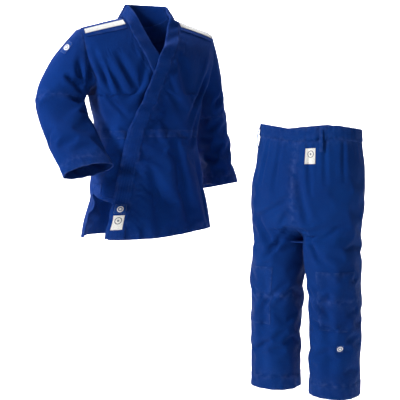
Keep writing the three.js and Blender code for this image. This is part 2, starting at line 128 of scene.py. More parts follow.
# Jacket shell. Two fronts and a back of heavy blue cotton, joined at the sides and to a pair of
# sleeves, each sleeve one tube of cloth with a seam at the elbow. The shell is shaped on the form,
# its folds are pressed in, and then the cloth is left to settle under its own weight.
FRONT, BACK = -1, 1
RIGHT, LEFT = -1, 1
NAMES = {RIGHT: "right", LEFT: "left"}
jacket_length = 0.820
shoulder_drop = 0.053
shoulder_slope = 0.050
shoulder_half = 0.252
armhole_bottom = 0.325
neck_crossing = 0.188
seam_top = 0.445
seam_bottom = 0.472
vent_top = 0.665
roundness = 2.6
armhole_share = 0.93
lapel_width = 0.054
neck_flare = 0.042
lapel_waist_reach = 0.114
lapel_hem_reach = 0.195
neck_half = 0.068
neck_depth = 0.066
wrap_lift = 0.0104
jacket_turn = math.radians(27)


def smooth_rows(stations, rows):
    """A smooth curve through rows of values, one row for each rising station."""
    at, value = np.array(stations, float), np.array(rows, float)

    def read(x):
        x = np.clip(np.asarray(x, float), at[0], at[-1])
        high = np.clip(np.searchsorted(at, x, side="right"), 1, len(at) - 1)
        low = high - 1
        first, last = high == 1, high == len(at) - 1
        before, after = np.where(first, high, low - 1), np.where(last, low, (high + 1) % len(at))
        half = (at[high] - at[low]) / 2
        back = half / (at[low] - at[before])
        ahead = half / (at[after] - at[high])
        p = (x - at[low]) / (at[high] - at[low])
        weights = (
            -back * p**3 + 2 * back * p**2 - back * p,
            (1 + back) * p**3 + (-1.5 - 2 * back) * p**2 + (-0.5 + back) * p + 1,
            (-1 - ahead) * p**3 + (1.5 + ahead) * p**2 + 0.5 * p,
            ahead * p**3 - ahead * p**2,
        )
        return sum(w[..., None] * value[k] for w, k in zip(weights, (before, low, high, after)))

    return read


def ease(x, low, high):
    t = np.clip((np.asarray(x, float) - low) / (high - low), 0, 1)
    return t * t * (3 - 2 * t)


def mix(a, b, t):
    return a + (b - a) * t


def rise_below(drop):
    return -(drop - armhole_bottom) / (jacket_length - armhole_bottom)


body_rows = smooth_rows(
    [-1, rise_below(vent_top), rise_below(seam_top), 0, 0.5, 1],
    [
        [0.228, 0.142],
        [0.2055, 0.131],
        [0.183, 0.120],
        [0.207, 0.122],
        [mix(0.207, shoulder_half / armhole_share, 0.72), 0.122],
        [shoulder_half / armhole_share, 0.118],
    ],
)


def shoulder_at(x):
    beyond = np.maximum(np.abs(x) - neck_half, 0)
    return shoulder_drop + shoulder_slope * beyond / (shoulder_half - neck_half)


def drop_at(x, rise):
    below = armhole_bottom - rise * (jacket_length - armhole_bottom)
    return np.where(rise <= 0, below, mix(armhole_bottom, shoulder_at(x), rise))


def rise_at(x, drop):
    above = (armhole_bottom - drop) / (armhole_bottom - shoulder_at(x))
    return np.where(drop >= armhole_bottom, rise_below(drop), np.minimum(above, 1))


def body_point(share, rise, side):
    """Points of the jacket body; share is x as a share of the half width at that height."""
    share, rise = np.broadcast_arrays(np.asarray(share, float), np.asarray(rise, float))
    half = body_rows(rise)
    x = share * half[..., 0]
    round_off = (1 - np.clip(rise, 0, 1) ** roundness) ** (1 / roundness)
    bulge = np.maximum(1 - np.abs(share) ** roundness, 0) ** (1 / roundness)
    return np.stack([x, side * half[..., 1] * bulge * round_off, -drop_at(x, rise)], -1)


def front_at(x, drop):
    x, drop = np.broadcast_arrays(np.asarray(x, float), np.asarray(drop, float))
    rise = rise_at(x, drop)
    return body_point(np.clip(x / body_rows(rise)[..., 0], -1, 1), rise, FRONT)


def side_share(rise):
    opening = np.maximum(1 - np.maximum(rise, 0) / 0.25, 0)
    return np.where(rise <= 0, 1, armhole_share + (1 - armhole_share) * opening**2)


def lapel_edge(drop):
    """Free edge of the left lapel below the neck crossing; the right one's is its mirror image."""
    upper = lapel_waist_reach * (drop - neck_crossing) / (seam_top - neck_crossing)
    skirt = (drop - seam_top) / (jacket_length - seam_top)
    return -np.where(drop < seam_top, upper, mix(lapel_waist_reach, lapel_hem_reach, skirt))


ridge_drop = float(shoulder_at(lapel_width + neck_flare))


def lapel_seam(drop):
    """Where the band is sewn to the front: along the lapel, then round the side of the neck."""
    below = np.clip((drop - ridge_drop) / (neck_crossing - ridge_drop), 0, 1)
    neck = lapel_width + neck_flare * (1 - below**2)
    return np.where(drop > neck_crossing, lapel_edge(drop) + lapel_width, neck)


def wrap_rise(points):
    """How far the left front stands off, to lie over the right front and its lapel."""
    x, y, drop = points[..., 0], points[..., 1], -points[..., 2]
    under = np.where(drop > neck_crossing, -lapel_edge(drop), 0)
    side = body_rows(np.minimum(rise_below(drop), 0))[..., 0]
    faded = ease(neck_crossing - drop, 0, neck_crossing - ridge_drop - 0.020)
    spread = np.clip((x - under - 0.004) / (side - 0.006 - under), 0, 1)
    return wrap_lift * (y < 0) * (1 - spread * spread * (3 - 2 * spread)) * (1 - faded)


def normals_of(grid, closed=False):
    """Outward directions of a grid of points: columns run counter-clockwise, rows run up."""
    if closed:
        across = np.roll(grid, -1, 1) - np.roll(grid, 1, 1)
    else:
        across = np.gradient(grid, axis=1)
    facing = np.cross(across, np.gradient(grid, axis=0))
    return facing / np.maximum(np.linalg.norm(facing, axis=-1, keepdims=True), 1e-9)


low_rows = np.linspace(-1, 0, 53)
arm_rows = 26
high_rows = (1 - np.cos(np.pi * np.arange(1, arm_rows + 1) / arm_rows)) / 2
jacket_rows = np.concatenate([low_rows, high_rows])
body_columns = 46


def front_shell(side):
    """One front, from its side seam or armhole to a little way under its lapel."""
    rows = []
    for rise in jacket_rows:
        half = body_rows(rise)[0]
        x = lapel_width
        for _ in range(8):
            drop = max(float(drop_at(x, rise)), ridge_drop)
            x = float(lapel_seam(np.array(drop))) - 0.010
        opened = 0.17 * float(ease(rise_below(vent_top) - rise, 0, 0.08)) * (side == RIGHT)
        inner, outer = np.arcsin(np.clip([x / half, side_share(rise) - opened], -1, 1))
        turn = np.linspace(inner, outer, body_columns + 1)
        if side == RIGHT:
            turn = -turn[::-1]
        rows.append(body_point(np.sin(turn), rise, FRONT))
    grid = np.array(rows)
    if side == LEFT:
        grid = grid + normals_of(grid) * wrap_rise(grid)[..., None]
    return grid


def back_shell():
    rows = []
    across = np.linspace(1, -1, body_columns + 1)
    near_neck = 1 - ease(np.abs(across), 0.22, 0.40)
    for rise in jacket_rows:
        here = np.minimum(rise, mix(1, 0.9, near_neck))
        rows.append(body_point(np.sin(np.arcsin(side_share(here)) * across), here, BACK))
    grid = np.array(rows)
    open_vent = ease(rise_below(vent_top + 0.004) - jacket_rows, 0, 0.30)[:, None]
    open_vent = open_vent * ease(np.abs(across), 0.7, 1)
    grid[..., 0] += 0.012 * open_vent * np.sign(across)
    grid[..., 1] += 0.006 * open_vent
    return grid


arm_stations = [0, 0.27, 0.54, 0.78, 1]
arm_rows_at = {
    RIGHT: smooth_rows(arm_stations, [
        [-0.294, -0.192, -0.574, 0.087, 0.034],
        [-0.312, -0.098, -0.462, 0.085, 0.046],
        [-0.318, -0.006, -0.348, 0.086, 0.058],
        [-0.290, 0, -0.268, 0.080, 0.066],
        [-0.262, 0, -0.214, 0.088, 0.068],
    ]),
    LEFT: smooth_rows(arm_stations, [
        [0.310, 0.028, -0.655, 0.062, 0.086],
        [0.294, 0.048, -0.520, 0.058, 0.087],
        [0.274, 0.054, -0.385, 0.054, 0.086],
        [0.260, 0.024, -0.292, 0.044, 0.080],
        [0.256, 0, -0.214, 0.056, 0.068],
    ]),
}
elbow_station = 0.54
sleeve_steps = 50
cuff_station = 0.030 / 0.520


def unit(v):
    return v / np.linalg.norm(v, axis=-1, keepdims=True)


def sleeve_point(side, turn, station):
    """Points of a sleeve: turn goes round the arm from its outer side, station from cuff to armhole."""
    turn, station = np.broadcast_arrays(np.asarray(turn, float), np.asarray(station, float))
    row = arm_rows_at[side](station)
    ahead = arm_rows_at[side](np.minimum(station + 0.02, 1))[..., :3]
    behind = arm_rows_at[side](np.maximum(station - 0.02, 0))[..., :3]
    along = unit(ahead - behind)
    face = np.array([0, side, 0]) - along * (along[..., 1] * side)[..., None]
    face = unit(face)
    outward = np.cross(face, along)
    ring = row[..., :3] + outward * (row[..., 3] * np.cos(turn))[..., None]
    ring = ring + face * (row[..., 4] * np.sin(turn))[..., None]
    rise = (1 + np.cos(turn)) / 2
    front = (np.sin(turn) * side < 0)[..., None]
    share = side * side_share(rise)
    armhole = np.where(front, body_point(share, rise, FRONT), body_point(share, rise, BACK))
    return mix(ring, armhole, (ease(station, 0.72, 1) ** 1.5)[..., None])


def sleeve_shell(side):
    turn = 2 * np.pi * np.arange(2 * arm_rows) / (2 * arm_rows)
    station = np.linspace(0, 1, sleeve_steps + 1)
    return sleeve_point(side, turn[None, :], station[:, None])


def press_fold(grid, start, end, width, depth, closed=False):
    """Presses one fold into a shell: a soft valley along a line, with a low ridge on each side."""
    start, end = np.array(start), np.array(end)
    line = end - start
    along = np.clip((grid - start) @ line / (line @ line), 0, 1)
    away = np.linalg.norm(grid - (start + along[..., None] * line), axis=-1) / width
    ends = np.sin(np.pi * np.clip(along * 0.92 + 0.04, 0, 1)) ** 0.6
    shape = (1.6 * away**2 - 1) * np.exp(-away**2)
    return grid + normals_of(grid, closed) * (1.6 * depth * ends * shape)[..., None]


pattern = {
    "right_front": front_shell(RIGHT),
    "left_front": front_shell(LEFT),
    "back": back_shell(),
    "right_sleeve": sleeve_shell(RIGHT),
    "left_sleeve": sleeve_shell(LEFT),
}
sleeve_shells = ("right_sleeve", "left_sleeve")
shells = dict(pattern)
# Each fold is a line on a shell, its half width and its depth.
pressed = {
    "right_front": [
        ((-0.205, -0.07, -0.300), (-0.120, -0.115, -0.395), 0.014, 0.006),
        ((-0.215, -0.06, -0.180), (-0.170, -0.105, -0.330), 0.016, 0.010),
        ((-0.190, -0.085, -0.215), (-0.120, -0.12, -0.330), 0.018, 0.008),
        ((-0.150, -0.11, -0.190), (-0.085, -0.12, -0.300), 0.020, 0.007),
        ((-0.170, -0.10, -0.400), (-0.080, -0.12, -0.500), 0.016, 0.005),
        ((-0.190, -0.09, -0.560), (-0.180, -0.10, -0.800), 0.026, 0.007),
    ],
    "left_front": [
        ((0.222, -0.05, -0.170), (0.150, -0.10, -0.350), 0.017, 0.010),
        ((0.212, -0.06, -0.230), (0.110, -0.12, -0.420), 0.020, 0.008),
        ((0.200, -0.06, -0.300), (0.120, -0.12, -0.500), 0.018, 0.006),
        ((0.060, -0.13, -0.500), (0.100, -0.14, -0.790), 0.030, 0.006),
        ((0.150, -0.11, -0.520), (0.185, -0.10, -0.800), 0.026, 0.007),
        ((-0.030, -0.13, -0.560), (-0.020, -0.14, -0.800), 0.030, 0.005),
    ],
    "back": [
        ((0.212, 0.06, -0.220), (0.100, 0.12, -0.420), 0.020, 0.008),
        ((-0.212, 0.06, -0.220), (-0.100, 0.12, -0.420), 0.020, 0.008),
        ((0.070, 0.12, -0.500), (0.090, 0.14, -0.800), 0.030, 0.007),
        ((-0.080, 0.12, -0.520), (-0.100, 0.14, -0.800), 0.030, 0.007),
        ((0.150, 0.10, -0.500), (0.175, 0.11, -0.800), 0.024, 0.006),
    ],
    "right_sleeve": [
        ((-0.395, -0.02, -0.330), (-0.250, -0.07, -0.345), 0.013, 0.012),
        ((-0.250, -0.06, -0.315), (-0.330, -0.07, -0.250), 0.014, 0.010),
        ((-0.250, -0.06, -0.370), (-0.330, -0.11, -0.430), 0.015, 0.009),
        ((-0.240, -0.05, -0.300), (-0.235, -0.07, -0.220), 0.014, 0.010),
        ((-0.270, -0.06, -0.300), (-0.275, -0.07, -0.200), 0.016, 0.007),
        ((-0.370, -0.05, -0.400), (-0.330, -0.14, -0.480), 0.020, 0.006),
        ((-0.380, 0.02, -0.360), (-0.300, 0.06, -0.300), 0.018, 0.008),
    ],
    "left_sleeve": [
        ((0.300, -0.03, -0.280), (0.245, -0.05, -0.380), 0.015, 0.009),
        ((0.320, -0.01, -0.360), (0.250, -0.02, -0.440), 0.016, 0.009),
        ((0.335, 0.02, -0.430), (0.270, -0.03, -0.510), 0.018, 0.008),
        ((0.330, 0.00, -0.520), (0.280, -0.03, -0.600), 0.018, 0.006),
        ((0.330, 0.06, -0.350), (0.290, 0.13, -0.420), 0.018, 0.008),
    ],
}
for shell_name, folds in pressed.items():
    for start, end, width, depth in folds:
        closed = shell_name in sleeve_shells
        shells[shell_name] = press_fold(shells[shell_name], start, end, width, depth, closed)


def sewn_points(pattern, shells):
    """Finds where the edges of the cut shells meet, and brings the folded shells together there."""
    points, keys, index = [], {}, {}
    for name, grid in pattern.items():
        ids = np.zeros(grid.shape[:2], int)
        for place in np.ndindex(*grid.shape[:2]):
            key = tuple(np.round(grid[place] * 2e4).astype(int))
            ids[place] = keys.setdefault(key, len(keys))
            if ids[place] == len(points):
                points.append([])
            points[ids[place]].append(shells[name][place])
        index[name] = ids
    return np.array([np.mean(found, axis=0) for found in points]), index


def settle(pattern, shells, closed_names, hold, slack, frames, stiffness=25, bending=5.0, fall=0.25):
    """Sews shells into one cloth, lets it settle, and gives the shells back.
    hold(name, grid) is how firmly each point is held, from 0 to 1; slack is the spare length."""
    points, index = sewn_points(pattern, shells)
    faces = []
    for name, ids in index.items():
        rows, columns = ids.shape
        for r in range(rows - 1):
            for c in range(columns if name in closed_names else columns - 1):
                n = (c + 1) % columns
                ring = [ids[r, c], ids[r, n], ids[r + 1, n], ids[r + 1, c]]
                if len(set(ring)) == 4:
                    faces.append(ring)
    weights = np.zeros(len(points))
    for name, grid in shells.items():
        np.maximum.at(weights, index[name].ravel(), hold(name, pattern[name]).ravel())
    mesh = bpy.data.meshes.new("settling")
    mesh.from_pydata(points.tolist(), [], faces)
    cloth = bpy.data.objects.new("settling", mesh)
    bpy.context.scene.collection.objects.link(cloth)
    group = cloth.vertex_groups.new(name="hold")
    for number, weight in enumerate(weights):
        group.add([number], float(weight), "REPLACE")
    modifier = cloth.modifiers.new("cloth", "CLOTH")
    settings = modifier.settings
    settings.quality = 6
    settings.mass = 0.3
    settings.tension_stiffness = settings.compression_stiffness = stiffness
    settings.shear_stiffness = stiffness / 3
    settings.bending_stiffness = bending
    settings.tension_damping = settings.compression_damping = 15
    settings.vertex_group_mass = "hold"
    settings.pin_stiffness = 1.2
    settings.shrink_min = -slack
    settings.effector_weights.gravity = fall
    scene = bpy.context.scene
    modifier.point_cache.frame_start, modifier.point_cache.frame_end = 1, frames
    for number in range(1, frames + 1):
        scene.frame_set(number)
    settled = cloth.evaluated_get(bpy.context.evaluated_depsgraph_get()).to_mesh()
    result = np.zeros(len(points) * 3)
    settled.vertices.foreach_get("co", result)
    result = result.reshape(-1, 3)
    bpy.data.objects.remove(cloth)
    bpy.data.meshes.remove(mesh)
    scene.frame_set(1)
    # No part of a garment on its form moves far; this keeps its pieces near their places.
    moved = result - points
    far = np.linalg.norm(moved, axis=1, keepdims=True)
    result = points + moved * np.minimum(1, 0.012 / np.maximum(far, 1e-9))
    return {name: result[index[name]] for name in shells}


def uneven(grid, size, seed):
    """Shallow, broad dents all over a cloth, so that no part of it lies quite flat."""
    random = np.random.default_rng(seed)
    total = 0
    for _ in range(14):
        way = unit(random.normal(size=3)) * 2 * np.pi / random.uniform(0.07, 0.20)
        total = total + np.sin(grid @ way + random.uniform(0, 6.3))
    return size * total / math.sqrt(14)


def jacket_hold(name, grid):
    """The shoulders, the neck and the edges by the lapels are held; the rest is free to fold."""
    firm = np.full(grid.shape[:2], 0.16)
    firm[:8] = np.linspace(0.30, 0.17, 8)[:, None]
    if name in sleeve_shells:
        return firm
    firm[-14:] = np.linspace(0.2, 1, 14)[:, None] ** 0.5
    if name == "back":
        return np.maximum(firm, ease(grid[..., 2], -0.16, -0.10))
    beside_lapel = np.array([1, 1, 1, 0.9, 0.7, 0.5, 0.3])
    if name == "right_front":
        firm[:, -7:] = np.maximum(firm[:, -7:], beside_lapel[::-1])
        hidden = ease(grid[..., 0], -0.05, 0.04) * (-grid[..., 2] > neck_crossing)
        return np.maximum(firm, hidden)
    firm[:, :7] = np.maximum(firm[:, :7], beside_lapel)
    return firm


for number, (shell_name, shell) in enumerate(shells.items()):
    closed = shell_name in sleeve_shells
    free = 1 - jacket_hold(shell_name, shell)
    dents = uneven(shell, 0.0016, number) * free
    shells[shell_name] = shell + normals_of(shell, closed) * dents[..., None]
shells = settle(pattern, shells, sleeve_shells, jacket_hold, 0.022, 22)


def placed(points):
    """Turns points of the jacket, as it hangs, to where it stands; its hem rises a little on the left."""
    points = np.asarray(points)
    c, s = math.cos(jacket_turn), math.sin(jacket_turn)
    x, z = points[..., 0], points[..., 2]
    raised = 0.026 * ease(x, -0.10, 0.22) * ease(-z, 0.50, 0.82) * ease(0.27 - np.abs(x), 0, 0.02)
    return (points + np.stack([0 * x, 0 * x, raised], -1)) @ np.array([[c, s, 0], [-s, c, 0], [0, 0, 1]])


def sample(grid, row, column, closed=False):
    """Reads a shell at any row and column, along smooth curves between its points."""
    row, column = np.broadcast_arrays(np.asarray(row, float), np.asarray(column, float))
    rows, columns = grid.shape[:2]
    r0 = np.clip(np.floor(row).astype(int), 0, rows - 2)
    c0 = np.floor(column).astype(int) if closed else np.clip(np.floor(column).astype(int), 0, columns - 2)

    def weights(t):
        return (
            (-t**3 + 2 * t**2 - t) / 2,
            (3 * t**3 - 5 * t**2 + 2) / 2,
            (-3 * t**3 + 4 * t**2 + t) / 2,
            (t**3 - t**2) / 2,
        )

    total = 0
    for i, row_weight in enumerate(weights(row - r0)):
        r = np.clip(r0 + i - 1, 0, rows - 1)
        for j, column_weight in enumerate(weights(column - c0)):
            c = (c0 + j - 1) % columns if closed else np.clip(c0 + j - 1, 0, columns - 1)
            total = total + (row_weight * column_weight)[..., None] * grid[r, c]
    return total


def part_of(grid, rows, columns, step=2, closed=False):
    """A finer copy of part of a shell, between two rows and two columns."""
    count_rows = max(int(round(abs(rows[1] - rows[0]) * step)), 1)
    count_columns = max(int(round(abs(columns[1] - columns[0]) * step)), 1)
    at_row = np.linspace(*rows, count_rows + 1)
    at_column = np.linspace(*columns, count_columns + 1)[: -1 if closed else None]
    return sample(grid, at_row[:, None], at_column[None, :], closed)


def cloth_piece(name, outer, inner, material, closed=False, wear=0.012):
    """A mesh from the outside and inside faces of a cloth, walled at its rims."""
    rows, columns = outer.shape[:2]
    points = np.concatenate([outer.reshape(-1, 3), inner.reshape(-1, 3)])
    last = columns if closed else columns - 1
    r, c = np.mgrid[0 : rows - 1, 0:last]
    n = (c + 1) % columns
    ring = np.stack([r * columns + c, r * columns + n, (r + 1) * columns + n, (r + 1) * columns + c], -1)
    ring = ring.reshape(-1, 4)
    under = rows * columns
    faces = [ring, under + ring[:, ::-1]]
    c = np.arange(last)
    n = (c + 1) % columns
    top = (rows - 1) * columns
    faces.append(np.stack([under + c, under + n, n, c], -1))
    faces.append(np.stack([top + c, top + n, under + top + n, under + top + c], -1))
    if not closed:
        low, high = np.arange(rows - 1) * columns, np.arange(1, rows) * columns
        faces.append(np.stack([under + low, low, high, under + high], -1))
        low, high = low + columns - 1, high + columns - 1
        faces.append(np.stack([low, under + low, under + high, high], -1))
    faces = np.concatenate(faces)
    mesh = bpy.data.meshes.new(name)
    mesh.from_pydata(points.tolist(), [], faces.tolist())
    across = np.linalg.norm(np.diff(outer, axis=1), axis=-1).mean(0)
    across = np.concatenate([[0], np.cumsum(across)])
    upward = np.linalg.norm(np.diff(outer, axis=0), axis=-1).mean(1)
    upward = np.concatenate([[0], np.cumsum(upward)])
    u = np.tile(across, rows)
    v = np.repeat(upward, columns)
    u, v = np.concatenate([u, u]), np.concatenate([v, v])
    corner = faces.ravel()
    flat = np.stack([u[corner], v[corner]], -1).reshape(-1, 4, 2)
    if closed:
        whole = across[-1] + across[1]
        wraps = np.ptp(flat[..., 0], axis=1) > whole / 2
        low_side = flat[..., 0] < whole / 2
        flat[..., 0] += whole * (wraps[:, None] & low_side)
    layer = mesh.uv_layers.new(name="cloth")
    layer.data.foreach_set("uv", flat.ravel())
    rim = np.minimum(upward, upward[-1] - upward)[:, None] + 0 * across[None, :]
    if not closed:
        rim = np.minimum(rim, np.minimum(across, across[-1] - across)[None, :])
    worn = np.exp(-rim.ravel() / wear)
    attribute = mesh.attributes.new("wear", "FLOAT", "POINT")
    attribute.data.foreach_set("value", np.concatenate([worn, worn * 0.5]).astype(np.float32))
    mesh.polygons.foreach_set("use_smooth", [True] * len(faces))
    mesh.set_sharp_from_angle(angle=math.radians(50))
    mesh.materials.append(material)
    piece = bpy.data.objects.new(name, mesh)
    bpy.context.scene.collection.objects.link(piece)
    return piece


def cloth_from(name, grid, material, lift=0.0, thick=0.003, closed=False):
    """A cloth of even thickness; grid is its face, and lift raises it off whatever lies under it."""
    out = normals_of(grid, closed)
    lift = np.broadcast_to(lift, grid.shape[:2])[..., None]
    return cloth_piece(name, placed(grid + out * lift), placed(grid + out * (lift - thick)), material, closed)


def hang_on(piece, holder):
    """Fixes a piece to a body; given two bodies and two points, it only bakes the piece where it stands."""
    if isinstance(holder, str):
        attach(piece, holder)
    else:
        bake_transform(piece)
    return piece


def stitch_rows(name, rows, material, holder, spacing=0.0046, length=0.0032, width=0.0010, place=placed):
    """Rows of single stitches; each row is the points of a seam and the outward directions there."""
    corners = np.array([[-1, 0, 0], [0, -1, 0], [1, 0, 0], [0, 1, 0], [0, 0, 1], [0, 0, -1]], float)
    corners *= [length / 2, width / 2, 0.0007]
    sides = [[0, 1, 4], [1, 2, 4], [2, 3, 4], [3, 0, 4], [1, 0, 5], [2, 1, 5], [3, 2, 5], [0, 3, 5]]
    points, faces = [], []
    for line, out in rows:
        run = np.concatenate([[0], np.cumsum(np.linalg.norm(np.diff(line, axis=0), axis=1))])
        at = np.arange(spacing / 2, run[-1], spacing)
        centre = np.stack([np.interp(at, run, line[:, k]) for k in range(3)], -1)
        up = unit(np.stack([np.interp(at, run, out[:, k]) for k in range(3)], -1))
        ahead = np.stack([np.interp(at, run, np.gradient(line[:, k])) for k in range(3)], -1)
        ahead = unit(ahead - up * (ahead * up).sum(-1, keepdims=True))
        frame_at = np.stack([ahead, np.cross(up, ahead), up], 1)
        found = centre[:, None, :] + np.einsum("ck,nkd->ncd", corners, frame_at)
        first = sum(len(p) for p in points)
        points.append(place(found.reshape(-1, 3)))
        block = np.arange(len(at))[:, None, None] * 6 + np.array(sides)[None] + first
        faces.append(block.reshape(-1, 3))
    mesh = bpy.data.meshes.new(name)
    mesh.from_pydata(np.concatenate(points).tolist(), [], np.concatenate(faces).tolist())
    mesh.polygons.foreach_set("use_smooth", [True] * len(mesh.polygons))
    mesh.materials.append(material)
    thread = bpy.data.objects.new(name, mesh)
    bpy.context.scene.collection.objects.link(thread)
    return hang_on(thread, holder)


def seam_line(grid, row, column, lift, closed=False, count=160):
    """One seam on a shell, as points raised by lift and the directions out of the cloth there."""
    spread = np.linspace(0, 1, count)
    at_row = mix(*row, spread) if isinstance(row, tuple) else np.full(count, float(row))
    at_column = mix(*column, spread) if isinstance(column, tuple) else np.full(count, float(column))
    out = unit(sample(normals_of(grid, closed), at_row, at_column, closed))
    return sample(grid, at_row, at_column, closed) + out * lift, out


def woven_cloth(name, lit, shade, grain, bump, roughness=0.9):
    """Cotton woven in small grains. lit and shade are its colours, and grain a thread's length."""
    material = bpy.data.materials.new(name)
    material.use_nodes = True
    nodes, links = material.node_tree.nodes, material.node_tree.links
    shader = nodes["Principled BSDF"]
    shader.inputs["Roughness"].default_value = roughness
    shader.inputs["Sheen Weight"].default_value = 0.03
    shader.inputs["Sheen Roughness"].default_value = 0.45
    shader.inputs["Sheen Tint"].default_value = (*[min(1, 0.12 + 2 * c) for c in lit], 1)
    shader.inputs["Specular IOR Level"].default_value = 0.10
    place = nodes.new("ShaderNodeUVMap")
    place.uv_map = "cloth"
    weave = nodes.new("ShaderNodeTexBrick")
    weave.inputs["Scale"].default_value = 1 / grain
    weave.inputs["Mortar Size"].default_value = 0.09
    weave.inputs["Mortar Smooth"].default_value = 1
    weave.inputs["Brick Width"].default_value = 1.0
    weave.inputs["Row Height"].default_value = 0.46
    weave.inputs["Color1"].default_value = (1, 1, 1, 1)
    weave.inputs["Color2"].default_value = (0.86, 0.86, 0.86, 1)
    weave.inputs["Mortar"].default_value = (0.35, 0.35, 0.35, 1)
    links.new(place.outputs["UV"], weave.inputs["Vector"])
    coordinates = nodes.new("ShaderNodeTexCoord")

    def noise(scale, detail):
        node = nodes.new("ShaderNodeTexNoise")
        node.inputs["Scale"].default_value = scale
        node.inputs["Detail"].default_value = detail
        links.new(coordinates.outputs["Object"], node.inputs["Vector"])
        return node.outputs["Fac"]

    def blend_colours(kind, factor, first, second):
        node = nodes.new("ShaderNodeMix")
        node.data_type = "RGBA"
        node.blend_type = kind
        for socket, value in ((0, factor), (6, first), (7, second)):
            if isinstance(value, (int, float)):
                node.inputs[socket].default_value = value
            elif isinstance(value, tuple):
                node.inputs[socket].default_value = (*value, 1)
            else:
                links.new(value, node.inputs[socket])
        return node.outputs[2]

    def curve(value, low, high, start, end):
        node = nodes.new("ShaderNodeMapRange")
        links.new(value, node.inputs["Value"])
        for socket, number in (("From Min", low), ("From Max", high), ("To Min", start), ("To Max", end)):
            node.inputs[socket].default_value = number
        return node.outputs["Result"]

    patches = curve(noise(7, 3), 0.3, 0.7, 0, 1)
    colour = blend_colours("MIX", patches, shade, lit)
    fibres = curve(noise(420, 2), 0.25, 0.75, 0.82, 1.12)
    colour = blend_colours("MULTIPLY", 1.0, colour, fibres)
    colour = blend_colours("MULTIPLY", 0.8, colour, weave.outputs["Color"])
    worn = nodes.new("ShaderNodeAttribute")
    worn.attribute_name = "wear"
    rubbed = curve(noise(60, 4), 0.4, 0.75, 0, 0.22)
    amount = nodes.new("ShaderNodeMath")
    amount.operation = "MULTIPLY"
    links.new(worn.outputs["Fac"], amount.inputs[0])
    links.new(rubbed, amount.inputs[1])
    pale = tuple(min(1, c * 1.6 + 0.10) for c in lit)
    colour = blend_colours("MIX", amount.outputs[0], colour, pale)
    links.new(colour, shader.inputs["Base Color"])
    height = nodes.new("ShaderNodeMath")
    height.operation = "MULTIPLY_ADD"
    links.new(weave.outputs["Fac"], height.inputs[0])
    height.inputs[1].default_value = -1
    links.new(curve(noise(900, 1), 0, 1, 0, 0.5), height.inputs[2])
    relief = nodes.new("ShaderNodeBump")
    relief.inputs["Strength"].default_value = 0.6
    relief.inputs["Distance"].default_value = bump
    links.new(height.outputs[0], relief.inputs["Height"])
    links.new(relief.outputs["Normal"], shader.inputs["Normal"])
    return material


jacket_fabric = woven_cloth("jacket_fabric", (0.0012, 0.037, 0.232), (0.0006, 0.027, 0.185), 0.0034, 0.0007)
jacket_thread = woven_cloth("jacket_thread", (0.006, 0.062, 0.300), (0.004, 0.050, 0.260), 0.0008, 0.0001)


def jacket_row(drop):
    return float(np.interp(rise_below(drop), jacket_rows, np.arange(len(jacket_rows))))


def fold_blend(outside, inside):
    """The line on which the left front folds open, from the torso to the wrap, given as two bodies and two
    points.
    """
    middle = np.array([mix(0.054, 0.150, 0.5), -0.1335, -mix(neck_crossing, jacket_length, 0.5)])
    across = unit(np.array([0.632, 0, 0.096]))
    start, end = placed(middle + across * outside), placed(middle - across * inside)
    return "torso", "front_wrap", tuple(start), tuple(end)


front_holder = {RIGHT: "torso", LEFT: fold_blend(0.022, 0.012)}
tail_holder = ("torso", "tail", tuple(placed([0, 0.13, -0.665])), tuple(placed([0, 0.13, -0.725])))
shell_holder = {"right_front": "torso", "left_front": front_holder[LEFT], "back": tail_holder}
top_row = len(jacket_rows) - 1
replaced_by = {
    "right_front": ("right_chest_panel", "right_skirt", "right_waist_seam"),
    "left_front": (
        "left_chest_panel", "left_chest_wrap", "left_skirt_side", "left_skirt_wrap",
        "left_waist_seam_side", "left_waist_seam_wrap",
    ),
    "back": ("back_panel", "back_skirt", "back_tail", "back_waist_seam"),
}
jacket_pieces = {}
for shell_name, nodes_replaced in replaced_by.items():
    shell = part_of(shells[shell_name], (0, top_row), (0, body_columns))
    piece = cloth_from(shell_name, shell, jacket_fabric)
    hang_on(piece, shell_holder[shell_name])
    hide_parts(*nodes_replaced)
    jacket_pieces[shell_name] = piece


# Sleeves. Each is one tube of the same cloth, cut at the elbow, with a turned cuff of double
# cloth. The upper part is sewn round the armhole.
def sleeve_centre(side, station):
    return arm_rows_at[side](station)[:3]


